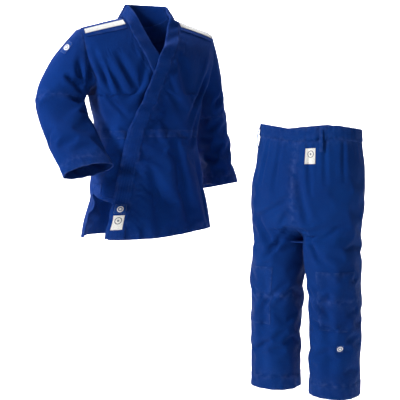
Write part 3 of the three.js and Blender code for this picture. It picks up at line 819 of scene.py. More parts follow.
sleeve_row = {"cuff": cuff_station * sleeve_steps, "elbow": elbow_station * sleeve_steps, "top": sleeve_steps}
around = (0, 2 * arm_rows)
for side in (RIGHT, LEFT):
    name = NAMES[side]
    shell = shells[f"{name}_sleeve"]
    out = np.array([0.6 * side, 0, -0.8])
    start = out * 0.384 / (out @ out)
    lift_blend = ("torso", f"{name}_arm", tuple(placed(start)), tuple(placed(start + out * 0.040)))
    elbow = sleeve_centre(side, elbow_station)
    forearm = sleeve_centre(side, elbow_station - 0.2)
    bend_blend = (f"{name}_arm", f"{name}_forearm", tuple(placed(elbow)), tuple(placed(forearm)))
    upper = part_of(shell, (sleeve_row["elbow"], sleeve_row["top"] - 0.1), around, closed=True)
    upper = hang_on(cloth_from(f"{name}_upper_sleeve_cloth", upper, jacket_fabric, closed=True), lift_blend)
    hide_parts(f"{name}_upper_sleeve")
    lower = part_of(shell, (sleeve_row["cuff"], sleeve_row["elbow"] + 0.5), around, closed=True)
    lap = np.full(lower.shape[:2], 0.0)
    lap[-2:] = 0.0016
    lower = cloth_from(f"{name}_lower_sleeve_cloth", lower, jacket_fabric, lap, closed=True)
    lower = hang_on(lower, bend_blend)
    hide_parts(f"{name}_lower_sleeve")
    cuff = part_of(shell, (0, sleeve_row["cuff"]), around, closed=True)
    cuff_lift = 0.0016
    cuff = cloth_from(f"{name}_cuff", cuff, jacket_fabric, cuff_lift, 0.0046, closed=True)
    hang_on(cuff, f"{name}_forearm")
    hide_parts(f"{name}_cuff_hem")
    jacket_pieces[f"{name}_sleeve"] = (upper, lower, cuff)
    lines = [seam_line(shell, row, around, 0.0018, True) for row in (0.6, 1.0)]
    lines += [seam_line(shell, sleeve_row["cuff"] - 0.25, around, 0.0018, True)]
    stitch_rows(f"{name}_cuff_stitches", lines, jacket_thread, f"{name}_forearm")
    lines = [seam_line(shell, sleeve_row["elbow"] - k, around, 0.0004, True) for k in (0.35, 1.3)]
    stitch_rows(f"{name}_elbow_stitches", lines, jacket_thread, bend_blend)
    lines = [seam_line(shell, sleeve_row["top"] - k, around, 0.0003, True) for k in (0.9, 1.6)]
    stitch_rows(f"{name}_armhole_stitches", lines, jacket_thread, lift_blend)


# Lapels and collar. One long band, folded and quilted with rows of stitching, runs up each front
# edge and round the back of the neck. The left lapel lies on top of the right one.
band_thick = 0.008
across_band = np.concatenate([[0, 0.012, 0.04], np.linspace(0.08, 0.92, 22), [0.96, 0.988, 1]])
channels = 6


def quilted_band(name, base, holder, nodes, lift=0.0):
    """A padded band over a base grid, its outside face quilted between rows of stitching."""
    out = normals_of(base)
    edge = 1 - np.abs(2 * across_band - 1) ** 10
    half = (band_thick / 2 * np.maximum(edge, 0.02) ** 0.5)[None, :, None]
    quilt = np.abs(np.sin(np.pi * channels * (across_band - 0.5) / 0.88 + np.pi * channels / 2)) ** 0.7
    quilt = (0.0016 * quilt * (edge > 0.2))[None, :, None]
    middle = base + out * (np.broadcast_to(lift, base.shape[:2])[..., None] + band_thick / 2 - 0.003)
    outside = placed(middle + out * (half + quilt - 0.0006))
    piece = cloth_piece(name, outside, placed(middle - out * half), jacket_fabric)
    hang_on(piece, holder)
    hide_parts(*nodes)
    face = middle + out * (band_thick / 2)
    columns = np.interp([0.06 + 0.88 * k / channels for k in range(channels + 1)], across_band, np.arange(28))
    lines = [seam_line(face, (0, len(base) - 1), float(c), -0.0001, count=260) for c in columns]
    stitch_rows(f"{name}_stitches", lines, jacket_thread, holder, 0.0050, 0.0034)
    return piece, face


def ripple(grid, size, long, seed):
    """Slight waves along a band, which a washed and worn band keeps."""
    random = np.random.default_rng(seed)
    t = np.cumsum(np.linalg.norm(np.diff(grid[:, 0], axis=0), axis=1))
    t = np.concatenate([[0], t])
    wave = sum(np.sin(2 * np.pi * t / (long * f) + random.uniform(0, 6.3)) / f for f in (1, 0.62, 0.41))
    across = np.linspace(0, 1, grid.shape[1])[None, :]
    tilt = np.sin(2 * np.pi * t / (long * 1.7) + random.uniform(0, 6.3))
    return size * (wave[:, None] + 0.6 * tilt[:, None] * (across - 0.5))


neck_path = smooth_rows(
    [0, 1 / 3, 2 / 3, 1],
    [
        [0, neck_crossing],
        [neck_half * 0.42, mix(neck_crossing, shoulder_drop, 0.36)],
        [neck_half * 0.92, neck_crossing * 0.26],
        [neck_half, shoulder_drop * 0.2],
    ],
)


def neck_free_edge(side, up):
    x, drop = np.moveaxis(neck_path(up), -1, 0)
    start = front_at(0.0, neck_crossing)[1]
    depth = np.interp(up, [0, 1 / 3, 2 / 3, 1], [start, front_at(neck_half * 0.42, 0.139)[1], -0.0568, 0])
    return np.stack([side * x, depth, -drop], -1)


def lapel_base(side):
    lower_drop = np.linspace(jacket_length, neck_crossing + 0.001, 110)
    u = across_band if side == LEFT else 1 - across_band
    x = lapel_edge(lower_drop)[:, None] + lapel_width * u[None, :]
    lower = front_at(side * x, lower_drop[:, None])
    up = np.linspace(0.02, 0.99, 30)
    drop = mix(ridge_drop, neck_crossing, (1 - up) ** 2)
    seam = front_at(side * lapel_seam(drop - 1e-9), drop)
    free = neck_free_edge(side, up)
    upper = free[:, None] + (seam - free)[:, None] * u[None, :, None]
    return np.concatenate([lower, upper])


left_base = lapel_base(LEFT)
left_lift = wrap_rise(left_base) + ripple(left_base, 0.0016, 0.16, 3)
left_lapel, left_face = quilted_band(
    "left_lapel", left_base, front_holder[LEFT], ("left_lapel_lower", "left_lapel_upper"), left_lift
)
right_base = lapel_base(RIGHT)
hidden = ease(right_base[..., 0], -0.09, -0.02)
right_lift = ripple(right_base, 0.0011, 0.16, 8) * (1 - hidden)
right_lapel, _ = quilted_band(
    "right_lapel", right_base, "torso", ("right_lapel_lower", "right_lapel_upper"), right_lift
)


def neck_arc(turn, half_width, half_depth, side_drop, back_drop):
    back = np.sin(turn)
    drop = mix(side_drop, back_drop, back)
    return np.stack([half_width * np.cos(turn), half_depth * back, -drop], -1)


turn = np.linspace(0, np.pi, 60)
seam_edge = neck_arc(turn, lapel_width + neck_flare, neck_depth + 0.012, ridge_drop, 0.100)
seam_edge[:, 1] *= np.maximum(np.sin(turn), 1e-6) ** -0.5
free_edge = neck_arc(turn, neck_half, neck_depth, shoulder_drop * 0.2, 0.002)
collar_grid = seam_edge[None] + (free_edge - seam_edge)[None] * across_band[:, None, None]
collar_out = normals_of(collar_grid)
edge = np.maximum(1 - np.abs(2 * across_band - 1) ** 10, 0.02) ** 0.5
half = (band_thick / 2 * edge)[:, None, None]
middle = collar_grid + collar_out * (band_thick / 2 - 0.003)
quilt = np.abs(np.sin(np.pi * channels * (across_band - 0.5) / 0.88 + np.pi * channels / 2)) ** 0.7
quilt = (0.0011 * quilt)[:, None, None] * (edge > 0.5)[:, None, None]
collar = cloth_piece(
    "collar", placed(middle + collar_out * (half + quilt)), placed(middle - collar_out * half), jacket_fabric
)
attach(collar, "torso")
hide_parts("collar_band")
rows = np.interp([0.06 + 0.88 * k / channels for k in range(channels + 1)], across_band, np.arange(28))
lines = [seam_line(collar_grid, float(r), (0, 59), 0.0052) for r in rows]
stitch_rows("collar_stitches", lines, jacket_thread, "torso", 0.0050, 0.0034)


# Neck lining. A strip of the same cloth inside the back of the neck closes the collar seam.
upper_edge = neck_arc(turn, 0.088, neck_depth + 0.004, 0.050, 0.080)
lower_edge = neck_arc(turn, 0.135, 0.094, 0.088, 0.140)
share = np.linspace(0, 1, 8)[:, None, None]
lining_grid = lower_edge[None] + (upper_edge - lower_edge)[None] * share
lining_out = normals_of(lining_grid)
lining = cloth_piece(
    "neck_lining",
    placed(lining_grid + lining_out * 0.001),
    placed(lining_grid - lining_out * 0.001),
    jacket_fabric,
)
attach(lining, "torso")


# Shoulders. A second layer of cloth is sewn over each shoulder from front to back, and a plain
# white tape is sewn on it a little ahead of the ridge.
def over_shoulder(side, inner, outer, ahead, behind, columns):
    """Part of the jacket over a shoulder, from x inner to outer and from the front over to the back."""
    x_at = side * np.linspace(outer, inner, columns + 1)
    rows = []
    for shell_name, backwards in ((f"{NAMES[side]}_front", False), ("back", True)):
        shell = shells[shell_name]
        found = []
        for row in range(top_row - 14, top_row + 1):
            order = np.argsort(shell[row, :, 0])
            line = shell[row, order]
            found.append(np.stack([np.interp(x_at, line[:, 0], line[:, k]) for k in range(3)], -1))
        rows.append(np.array(found)[::-1] if backwards else np.array(found)[:-1])
    grid = np.concatenate(rows)
    run = np.linalg.norm(np.diff(grid, axis=0), axis=-1).mean(1)
    run = np.concatenate([[0], np.cumsum(run)])
    ridge = run[14]
    at_row = np.interp(ridge + np.linspace(-ahead, behind, 24), run, np.arange(len(run)))
    laid = sample(grid, at_row[:, None], np.arange(columns + 1)[None, :])
    laid = np.swapaxes(laid, 0, 1)
    return laid if normals_of(laid)[..., 2].mean() > 0 else laid[:, ::-1]


plain_tape = woven_cloth("plain_white_tape", (0.80, 0.80, 0.78), (0.70, 0.70, 0.69), 0.0016, 0.0003, 0.75)
white_thread = woven_cloth("white_thread", (0.78, 0.78, 0.76), (0.66, 0.66, 0.65), 0.0008, 0.0001)
for side in (RIGHT, LEFT):
    name = NAMES[side]
    cover = over_shoulder(side, 0.104, 0.238, 0.085, 0.085, 34)
    yoke = hang_on(cloth_from(f"{name}_yoke", cover, jacket_fabric, 0.0030, 0.0026), "torso")
    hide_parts(f"{name}_shoulder_yoke")
    high = cover.shape[1] - 1
    lines = [seam_line(cover, (0, len(cover) - 1), column, 0.0031) for column in (0.6, high - 0.6)]
    lines += [seam_line(cover, row, (0, high), 0.0031) for row in (0.8, len(cover) - 1.8)]
    stitch_rows(f"{name}_yoke_stitches", lines, jacket_thread, "torso")
    strip = over_shoulder(side, 0.106, 0.240, 0.068, -0.045, 34)
    tape = hang_on(cloth_from(f"{name}_tape", strip, plain_tape, 0.0042, 0.0012), "torso")
    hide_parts(f"{name}_shoulder_tape")
    high = strip.shape[1] - 1
    lines = [seam_line(strip, (0, len(strip) - 1), column, 0.0042) for column in (1.6, high - 1.6)]
    stitch_rows(f"{name}_tape_stitches", lines, white_thread, "torso", 0.0036, 0.0024, 0.0007)


# Waist seam, hems and vents. A strip of the same cloth covers the seam at the waist, the hems are
# turned up and sewn twice, and a patch on each side stops the vent from tearing.
for shell_name, shell in shells.items():
    if shell_name in sleeve_shells:
        continue
    holder = shell_holder[shell_name]
    seam_rows = (jacket_row(seam_bottom), jacket_row(seam_top))
    strip = part_of(shell, seam_rows, (0, body_columns))
    strip = cloth_from(f"{shell_name}_waist_strip", strip, jacket_fabric, 0.0018, 0.0018)
    hang_on(strip, holder)
    lines = [
        seam_line(shell, row, (0.5, body_columns - 0.5), 0.0020)
        for row in (seam_rows[0] + 0.35, seam_rows[0] + 0.75, seam_rows[1] - 0.75, seam_rows[1] - 0.35)
    ]
    lines += [seam_line(shell, row, (0.5, body_columns - 0.5), 0.0003) for row in (0.5, 2.1)]
    sides = {"right_front": (1.1,), "left_front": (body_columns - 1.1,), "back": (1.1, body_columns - 1.1)}
    lines += [seam_line(shell, (0.5, jacket_row(vent_top)), column, 0.0003) for column in sides[shell_name]]
    stitch_rows(f"{shell_name}_stitches", lines, jacket_thread, holder)
for side in (RIGHT, LEFT):
    name = NAMES[side]
    columns = (0.4, 7.0) if side == RIGHT else (body_columns - 7.0, body_columns - 0.4)
    patch = part_of(shells[f"{name}_front"], (jacket_row(vent_top), jacket_row(vent_top - 0.040)), columns, 3)
    piece = hang_on(cloth_from(f"{name}_vent_cloth", patch, jacket_fabric, 0.0026, 0.0022), "torso")
    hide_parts(f"{name}_vent_patch")
    high, wide = patch.shape[0] - 1, patch.shape[1] - 1
    lines = [seam_line(patch, row, (0, wide), 0.0027, count=40) for row in (0.8, high - 0.8)]
    lines += [seam_line(patch, (0, high), column, 0.0027, count=40) for column in (0.8, wide - 0.8)]
    stitch_rows(f"{name}_vent_stitches", lines, jacket_thread, "torso")


# Labels. A small woven badge sits at the head of the right sleeve. The left lapel carries a blue
# square with a badge on it, and below that a plain white label woven with a ring and a dot.
def woven_label(name, ground, mark, centre, radius, line=0.16, dot=0.34):
    """Label cloth with a ring and a dot woven into it; centre and radius are in metres."""
    material = woven_cloth(name, ground, tuple(c * 0.9 for c in ground), 0.0011, 0.0002, 0.7)
    nodes, links = material.node_tree.nodes, material.node_tree.links
    shader = nodes["Principled BSDF"]
    cloth_colour = shader.inputs["Base Color"].links[0].from_socket
    place = nodes.new("ShaderNodeUVMap")
    place.uv_map = "cloth"
    away = nodes.new("ShaderNodeVectorMath")
    away.operation = "DISTANCE"
    away.inputs[1].default_value = (*centre, 0)
    links.new(place.outputs["UV"], away.inputs[0])
    ramp = nodes.new("ShaderNodeValToRGB")
    share = nodes.new("ShaderNodeMath")
    share.operation = "DIVIDE"
    links.new(away.outputs["Value"], share.inputs[0])
    share.inputs[1].default_value = radius * 1.25
    links.new(share.outputs[0], ramp.inputs["Fac"])
    stops = [(0, 1), (dot * 0.8, 1), (dot * 0.84, 0), (0.8 - line, 0), (0.82 - line, 1), (0.80, 1), (0.82, 0)]
    ramp.color_ramp.elements.remove(ramp.color_ramp.elements[1])
    ramp.color_ramp.elements[0].color = (1, 1, 1, 1)
    for at, value in stops[1:]:
        ramp.color_ramp.elements.new(at).color = (value, value, value, 1)
    inked = nodes.new("ShaderNodeMix")
    inked.data_type = "RGBA"
    links.new(ramp.outputs["Color"], inked.inputs[0])
    links.new(cloth_colour, inked.inputs[6])
    inked.inputs[7].default_value = (*mark, 1)
    links.new(inked.outputs[2], shader.inputs["Base Color"])
    return material


def sewn_label(name, grid, material, lift, holder, node=None, place=placed, edge=0.8):
    """A label with a row of stitches round its edge."""
    out = normals_of(grid)
    face, back = place(grid + out * lift), place(grid + out * (lift - 0.0012))
    piece = cloth_piece(name, face, back, material, wear=0.002)
    hang_on(piece, holder)
    if node:
        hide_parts(node)
    high, wide = grid.shape[0] - 1, grid.shape[1] - 1
    lines = [seam_line(grid, row, (edge, wide - edge), lift, count=40) for row in (edge, high - edge)]
    lines += [seam_line(grid, (edge, high - edge), column, lift, count=40) for column in (edge, wide - edge)]
    stitch_rows(f"{name}_stitches", lines, white_thread, holder, 0.0030, 0.0020, 0.0006, place)
    return piece


def size_of(grid):
    wide = np.linalg.norm(np.diff(grid, axis=1), axis=-1).sum(1).mean()
    high = np.linalg.norm(np.diff(grid, axis=0), axis=-1).sum(0).mean()
    return wide, high


badge_grid = part_of(
    shells["right_sleeve"],
    (0.85 * sleeve_steps, 0.90 * sleeve_steps),
    (0.035 * around[1], 0.095 * around[1]),
    6,
)
wide, high = size_of(badge_grid)
badge_cloth = woven_label(
    "sleeve_badge_cloth", (0.005, 0.050, 0.27), (0.80, 0.80, 0.78), (wide / 2, high / 2), 0.011, 0.26, 0.42
)
sewn_label("sleeve_badge_label", badge_grid, badge_cloth, 0.0016, "right_arm", "sleeve_badge")


def on_lapel(top, bottom, inset, tilt=0.0):
    """A patch of the left lapel's face between two heights, inset from both its edges."""
    lapel_drop = jacket_length - neck_crossing - 0.001
    low, high = [(jacket_length - drop) / lapel_drop * 109 for drop in (bottom, top)]
    share = np.linspace(inset, lapel_width - inset, 25) / lapel_width
    column = np.interp(share, across_band, np.arange(28))
    row = np.linspace(low, high, 31)[:, None] + tilt * (share - 0.5)[None, :]
    return sample(left_face, row, column[None, :])


patch_grid = on_lapel(0.702, 0.732, 0.010)
wide, high = size_of(patch_grid)
patch_cloth = woven_label(
    "lapel_badge_cloth", (0.006, 0.052, 0.27), (0.80, 0.80, 0.78), (wide / 2, high / 2), 0.011, 0.26, 0.42
)
sewn_label("lapel_badge", patch_grid, patch_cloth, 0.0016, "front_wrap", "lapel_patch")
label_grid = on_lapel(0.738, 0.788, 0.0115, 0.6)
wide, high = size_of(label_grid)
label_cloth = woven_label(
    "lapel_label_cloth", (0.88, 0.87, 0.82), (0.14, 0.15, 0.18), (wide / 2, high * 0.62), 0.013, 0.20, 0.30
)
sewn_label("lapel_woven_label", label_grid, label_cloth, 0.0016, "front_wrap", "lapel_label")


# Trousers. Two halves of the same kind of cloth, a little finer, each cut in one piece from hem to
# waist and joined along the middle of the body and inside the legs.
trouser_height = 0.912
band_bottom = trouser_height - 0.044
crotch_height = 0.509
crotch_reach = 0.085
knee_height = 0.330
hem_height = 0.046
trouser_roundness = 2.3
trouser_turn = math.radians(-32)
trouser_place = np.array([0.558, -0.150, cad_low.z])
hip_rows = smooth_rows(
    [crotch_height, mix(crotch_height, trouser_height, 0.5), trouser_height],
    [[0.193, 0.095], [0.203, 0.124], [0.188, 0.113]],
)
leg_rows = smooth_rows(
    [0, knee_height, crotch_height + 0.001],
    [[0.113, 0.083, 0.082], [0.109, 0.0874, 0.0872], [0.097, 0.094, 0.095]],
)


def trousers_placed(points):
    """Turns points of the trousers to where they stand, with the waist hanging a little unevenly."""
    c, s = math.cos(trouser_turn), math.sin(trouser_turn)
    turned = np.asarray(points) @ np.array([[c, s, 0], [-s, c, 0], [0, 0, 1]])
    x, z = turned[..., 0], turned[..., 2]
    high = ease(z, 0.55, 0.90)
    drawn_in = x + 0.022 * ease(-x, -0.10, 0.20) * high
    dip = np.interp(x, [-0.21, -0.07, 0.08, 0.20], [0.012, -0.012, 0.002, -0.016])
    dip = dip * ease(z, 0.72, 0.90)
    return np.stack([drawn_in, turned[..., 1], z + dip], -1) + trouser_place


def round_point(turn, half_width, half_depth):
    power = 2 / trouser_roundness
    c, s = np.cos(turn), np.sin(turn)
    return half_width * np.sign(c) * np.abs(c) ** power, half_depth * np.sign(s) * np.abs(s) ** power


def hip_point(turn, height):
    turn, height = np.broadcast_arrays(np.asarray(turn, float), np.asarray(height, float))
    row = hip_rows(height)
    x, y = round_point(turn, row[..., 0], row[..., 1])
    return np.stack([x, y, height], -1)


def leg_point(turn, height):
    turn, height = np.broadcast_arrays(np.asarray(turn, float), np.asarray(height, float))
    row = leg_rows(height)
    x, y = round_point(turn, row[..., 1], row[..., 2])
    return np.stack([row[..., 0] + x, y, height], -1)


trouser_columns = 64
trouser_rows = np.concatenate(
    [np.linspace(0, crotch_height, 57), np.linspace(crotch_height, band_bottom, 41)[1:]]
)


def trouser_half(side):
    """The left half, or its mirror image: round the leg below, and from front to back above."""
    a = np.linspace(0, 1, trouser_columns + 1)[None, :]
    height = trouser_rows[:, None]
    hip = hip_point(np.pi * (a - 0.5), height)
    leg = leg_point(2 * np.pi * (a - 0.5), np.minimum(height, crotch_height))
    leg[..., 2] = height + 0 * a
    grid = mix(leg, hip, (ease(height, crotch_height, crotch_height + crotch_reach) ** 0.75)[..., None])
    if side == RIGHT:
        grid = (grid * [-1, 1, 1])[:, ::-1]
    return grid


def trouser_row(height):
    return float(np.interp(height, trouser_rows, np.arange(len(trouser_rows))))


trouser_pattern = {"right_half": trouser_half(RIGHT), "left_half": trouser_half(LEFT)}
halves = dict(trouser_pattern)
trouser_folds = {
    "right_half": [
        ((-0.004, -0.120, 0.640), (-0.090, -0.105, 0.500), 0.015, 0.006),
        ((-0.020, -0.125, 0.660), (-0.160, -0.085, 0.590), 0.018, 0.003),
        ((-0.010, -0.090, 0.590), (-0.100, -0.095, 0.470), 0.014, 0.008),
        ((-0.060, -0.115, 0.860), (-0.075, -0.120, 0.700), 0.012, 0.002),
        ((-0.120, -0.105, 0.862), (-0.135, -0.105, 0.720), 0.012, 0.002),
        ((-0.150, -0.09, 0.600), (-0.060, -0.10, 0.470), 0.020, 0.005),
        ((-0.110, -0.095, 0.450), (-0.125, -0.085, 0.060), 0.026, 0.004),
        ((-0.020, -0.070, 0.560), (-0.075, -0.095, 0.560), 0.010, 0.005),
        ((-0.020, -0.050, 0.530), (-0.090, -0.095, 0.500), 0.011, 0.005),
        ((-0.030, -0.040, 0.480), (-0.110, -0.095, 0.440), 0.012, 0.004),
        ((-0.180, -0.030, 0.250), (-0.110, -0.085, 0.230), 0.013, 0.004),
        ((-0.185, -0.02, 0.400), (-0.120, -0.09, 0.320), 0.016, 0.006),
        ((-0.050, -0.06, 0.380), (-0.120, -0.09, 0.290), 0.015, 0.006),
        ((-0.060, -0.06, 0.200), (-0.150, -0.08, 0.130), 0.017, 0.005),
        ((-0.100, 0.10, 0.620), (-0.180, 0.05, 0.480), 0.020, 0.007),
        ((-0.160, 0.07, 0.380), (-0.070, 0.08, 0.300), 0.018, 0.008),
        ((-0.120, 0.085, 0.300), (-0.115, 0.08, 0.060), 0.024, 0.006),
    ],
    "left_half": [
        ((0.004, -0.120, 0.610), (0.080, -0.105, 0.520), 0.014, 0.006),
        ((0.010, -0.125, 0.760), (0.060, -0.110, 0.580), 0.020, 0.004),
        ((0.010, -0.090, 0.600), (0.090, -0.095, 0.480), 0.014, 0.008),
        ((0.050, -0.115, 0.860), (0.070, -0.120, 0.690), 0.012, 0.002),
        ((0.110, -0.105, 0.862), (0.120, -0.110, 0.730), 0.012, 0.002),
        ((0.165, -0.07, 0.862), (0.170, -0.075, 0.740), 0.011, 0.002),
        ((0.120, -0.095, 0.450), (0.130, -0.085, 0.060), 0.026, 0.004),
        ((0.020, -0.070, 0.575), (0.080, -0.100, 0.600), 0.010, 0.005),
        ((0.020, -0.060, 0.545), (0.090, -0.100, 0.540), 0.011, 0.005),
        ((0.025, -0.040, 0.500), (0.100, -0.095, 0.470), 0.012, 0.004),
        ((0.060, -0.080, 0.260), (0.140, -0.085, 0.235), 0.013, 0.004),
        ((0.185, -0.02, 0.410), (0.110, -0.09, 0.330), 0.016, 0.006),
        ((0.050, -0.06, 0.370), (0.130, -0.09, 0.280), 0.015, 0.006),
        ((0.180, -0.03, 0.210), (0.090, -0.08, 0.140), 0.017, 0.005),
        ((0.100, 0.10, 0.620), (0.180, 0.05, 0.480), 0.020, 0.007),
        ((0.070, 0.07, 0.370), (0.160, 0.08, 0.300), 0.018, 0.008),
        ((0.110, 0.085, 0.300), (0.120, 0.08, 0.060), 0.024, 0.006),
    ],
}
for half_name, folds in trouser_folds.items():
    for start, end, width, depth in folds:
        halves[half_name] = press_fold(halves[half_name], start, end, width, depth)
    # The pressed folds leave the seams of the two halves where they meet.
    fixed = trouser_half(RIGHT if half_name == "right_half" else LEFT)
    near_seam = np.minimum(np.arange(trouser_columns + 1), trouser_columns - np.arange(trouser_columns + 1))
    keep = ease(near_seam, 0, 3)[None, :, None]
    halves[half_name] = mix(fixed, halves[half_name], keep)


def trouser_hold(name, grid):
    """The waist is held firmly and the hems lightly."""
    firm = np.full(grid.shape[:2], 0.20)
    firm[-6:] = np.linspace(0.25, 1, 6)[:, None]
    firm[:20] = np.linspace(0.28, 0.20, 20)[:, None]
    return firm


for number, (half_name, half) in enumerate(halves.items()):
    near_seam = np.minimum(np.arange(trouser_columns + 1), trouser_columns - np.arange(trouser_columns + 1))
    dents = uneven(half, 0.0018, 20 + number) * (1 - trouser_hold(half_name, half)) * ease(near_seam, 0, 4)
    halves[half_name] = half + normals_of(half) * dents[..., None]
halves = settle(trouser_pattern, halves, (), trouser_hold, 0.020, 22, bending=6.0)

trouser_fabric = woven_cloth("trouser_fabric", (0.0010, 0.036, 0.208), (0.0005, 0.026, 0.165), 0.0024, 0.0005)
trouser_thread = woven_cloth("trouser_thread", (0.003, 0.050, 0.255), (0.002, 0.042, 0.220), 0.0008, 0.0001)


def trouser_cloth(name, grid, lift=0.0, thick=0.0024, closed=False, material=trouser_fabric):
    out = normals_of(grid, closed)
    lift = np.broadcast_to(lift, grid.shape[:2])[..., None]
    face, back = trousers_placed(grid + out * lift), trousers_placed(grid + out * (lift - thick))
    return cloth_piece(name, face, back, material, closed)


def trouser_blend(upper, lower, top, bottom, side):
    centre = [side * 0.1, 0, 0]
    start, end = trousers_placed(np.add(centre, [0, 0, top])), trousers_placed(np.add(centre, [0, 0, bottom]))
    return upper, lower, tuple(start), tuple(end)


whole = (0, trouser_columns)
for side in (RIGHT, LEFT):
    name = NAMES[side]
    half = halves[f"{name}_half"]
    hip_blend = trouser_blend("trousers", f"{name}_leg", crotch_height + 0.10, crotch_height - 0.01, side)
    knee_top, knee_end = knee_height + 0.010, knee_height - 0.07
    knee_blend = trouser_blend(f"{name}_leg", f"{name}_lower_leg", knee_top, knee_end, side)
    upper = part_of(half, (trouser_row(knee_height), len(trouser_rows) - 1), whole)
    upper = hang_on(trouser_cloth(f"{name}_trouser_upper", upper), hip_blend)
    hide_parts(f"{name}_hip_panel", f"{name}_thigh")
    lower = part_of(half, (trouser_row(hem_height), trouser_row(knee_height)), whole)
    lower = hang_on(trouser_cloth(f"{name}_trouser_lower", lower), knee_blend)
    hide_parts(f"{name}_shin")
    hem = part_of(half, (0, trouser_row(hem_height)), whole)
    hem = hang_on(trouser_cloth(f"{name}_turned_hem", hem, 0.0014, 0.0040), f"{name}_lower_leg")
    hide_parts(f"{name}_trouser_hem")
    lines = [seam_line(half, row, whole, 0.0016) for row in (0.7, trouser_row(hem_height) - 0.5)]
    stitch_rows(f"{name}_hem_stitches", lines, trouser_thread, f"{name}_lower_leg", place=trousers_placed)
    # The knee has a second layer of cloth on its front, sewn on all round.
    knee_rows = (trouser_row(knee_height - 0.100), trouser_row(knee_height + 0.100))
    span = (0.22 * trouser_columns, 0.46 * trouser_columns)
    if side == RIGHT:
        span = (trouser_columns - span[1], trouser_columns - span[0])
    knee_row = trouser_row(knee_height)
    layer_sides = (span[0] + 0.4, span[1] - 0.4)
    low_half = part_of(half, (knee_rows[0], knee_row), span)
    high_half = part_of(half, (knee_row, knee_rows[1]), span)
    low_patch = trouser_cloth(f"{name}_knee_layer_low", low_half, 0.0018, 0.0016)
    hang_on(low_patch, knee_blend)
    high_patch = trouser_cloth(f"{name}_knee_layer_high", high_half, 0.0018, 0.0016)
    hang_on(high_patch, f"{name}_leg")
    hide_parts(f"{name}_knee_patch")
    lines = [seam_line(half, knee_rows[0] + k, span, 0.0019) for k in (0.4, 0.9)]
    lines += [seam_line(half, (knee_rows[0], knee_row), c, 0.0019) for c in layer_sides]
    stitch_rows(f"{name}_knee_stitches_low", lines, trouser_thread, knee_blend, place=trousers_placed)
    lines = [seam_line(half, knee_rows[1] - k, span, 0.0019) for k in (0.4, 0.9)]
    lines += [seam_line(half, (knee_row, knee_rows[1]), c, 0.0019) for c in layer_sides]
    stitch_rows(f"{name}_knee_stitches_high", lines, trouser_thread, f"{name}_leg", place=trousers_placed)
    near, far = (1.0, trouser_columns - 1.0) if side == LEFT else (trouser_columns - 1.0, 1.0)
    seam_top_row = len(trouser_rows) - 1
    front_rows = (trouser_row(crotch_height + crotch_reach), seam_top_row)
    lines = [seam_line(half, front_rows, c, 0.0003) for c in (near, far)]
    stitch_rows(f"{name}_fly_stitches", lines, trouser_thread, "trousers", place=trousers_placed)


# Gusset. A small diamond of cloth lies between the legs, where the four seams meet.
gusset_grid = np.stack(np.meshgrid(np.linspace(-0.034, 0.034, 9), np.linspace(0.066, -0.066, 17)), -1)
gusset_grid = np.concatenate([gusset_grid, np.full((17, 9, 1), crotch_height + 0.006)], -1)
gusset_grid[..., 2] += 0.05 * np.abs(gusset_grid[..., 0])
gusset = hang_on(trouser_cloth("gusset", gusset_grid), "trousers")
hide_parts("crotch_gusset")


# Waistband. A casing of double cloth, drawn in a little by the cord inside it, so that it lies in
# small pleats.
def waist_ring(height, count=288):
    turn = 2 * np.pi * (np.arange(count) / count - 0.25)
    random = np.random.default_rng(5)
    pleat = sum(
        random.uniform(0.4, 1) * np.sin(k * turn + random.uniform(0, 6.3)) for k in (23, 31, 38, 47, 61)
    )
    grid = hip_point(turn[None, :], np.asarray(height)[:, None])
    level = (np.asarray(height)[:, None] - band_bottom) / 0.044
    out = normals_of(grid, True)
    front = (1 + 0.5 * (np.abs(turn + np.pi / 2) < 0.8))[None, :]
    size = 0.0011 * (0.55 + 0.45 * np.cos(2 * np.pi * level)) * front
    return grid + out * (size * pleat[None, :])[..., None]


band_levels = np.linspace(band_bottom - 0.001, trouser_height, 15)
band_grid = waist_ring(band_levels)
rounding = 0.0030 * (1 - np.abs(np.linspace(-1, 1, 15)) ** 6) ** 0.5
out = normals_of(band_grid, True)
out[..., 2] = 0
band_face = band_grid + out * (0.0006 + rounding)[:, None, None]
band_back = band_grid - out * (0.0012 + rounding)[:, None, None]
waistband = cloth_piece(
    "waistband_casing", trousers_placed(band_face), trousers_placed(band_back), trouser_fabric, True
)
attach(waistband, "trousers")
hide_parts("waistband")
lines = [seam_line(band_face, row, (0, 288), 0.0002, True, 500) for row in (1.2, 2.2, 12.6)]
stitch_rows("waistband_stitches", lines, trouser_thread, "trousers", place=trousers_placed)


# Drawcord. A flat braided cotton cord that runs once round inside the casing. Only the ring is
# made: its two tied ends are left out.
cord_count = 240
cord_turn = 2 * np.pi * (np.arange(cord_count) / cord_count - 0.25)
cord_ring = hip_point(cord_turn[None, :], np.linspace(band_bottom + 0.014, band_bottom + 0.024, 5)[:, None])
out = normals_of(cord_ring, True)
plump = 0.0012 * np.sqrt(1 - np.linspace(-0.95, 0.95, 5) ** 2)[:, None, None]
cord_cloth = woven_cloth("drawcord", (0.030, 0.085, 0.28), (0.022, 0.065, 0.23), 0.0018, 0.0005)
cord_ring = cord_ring - out * 0.0062
drawcord = cloth_piece(
    "drawcord_ring",
    trousers_placed(cord_ring + out * plump),
    trousers_placed(cord_ring - out * plump),
    cord_cloth,
    True,
)
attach(drawcord, "trousers")
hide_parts("waist_drawcord")


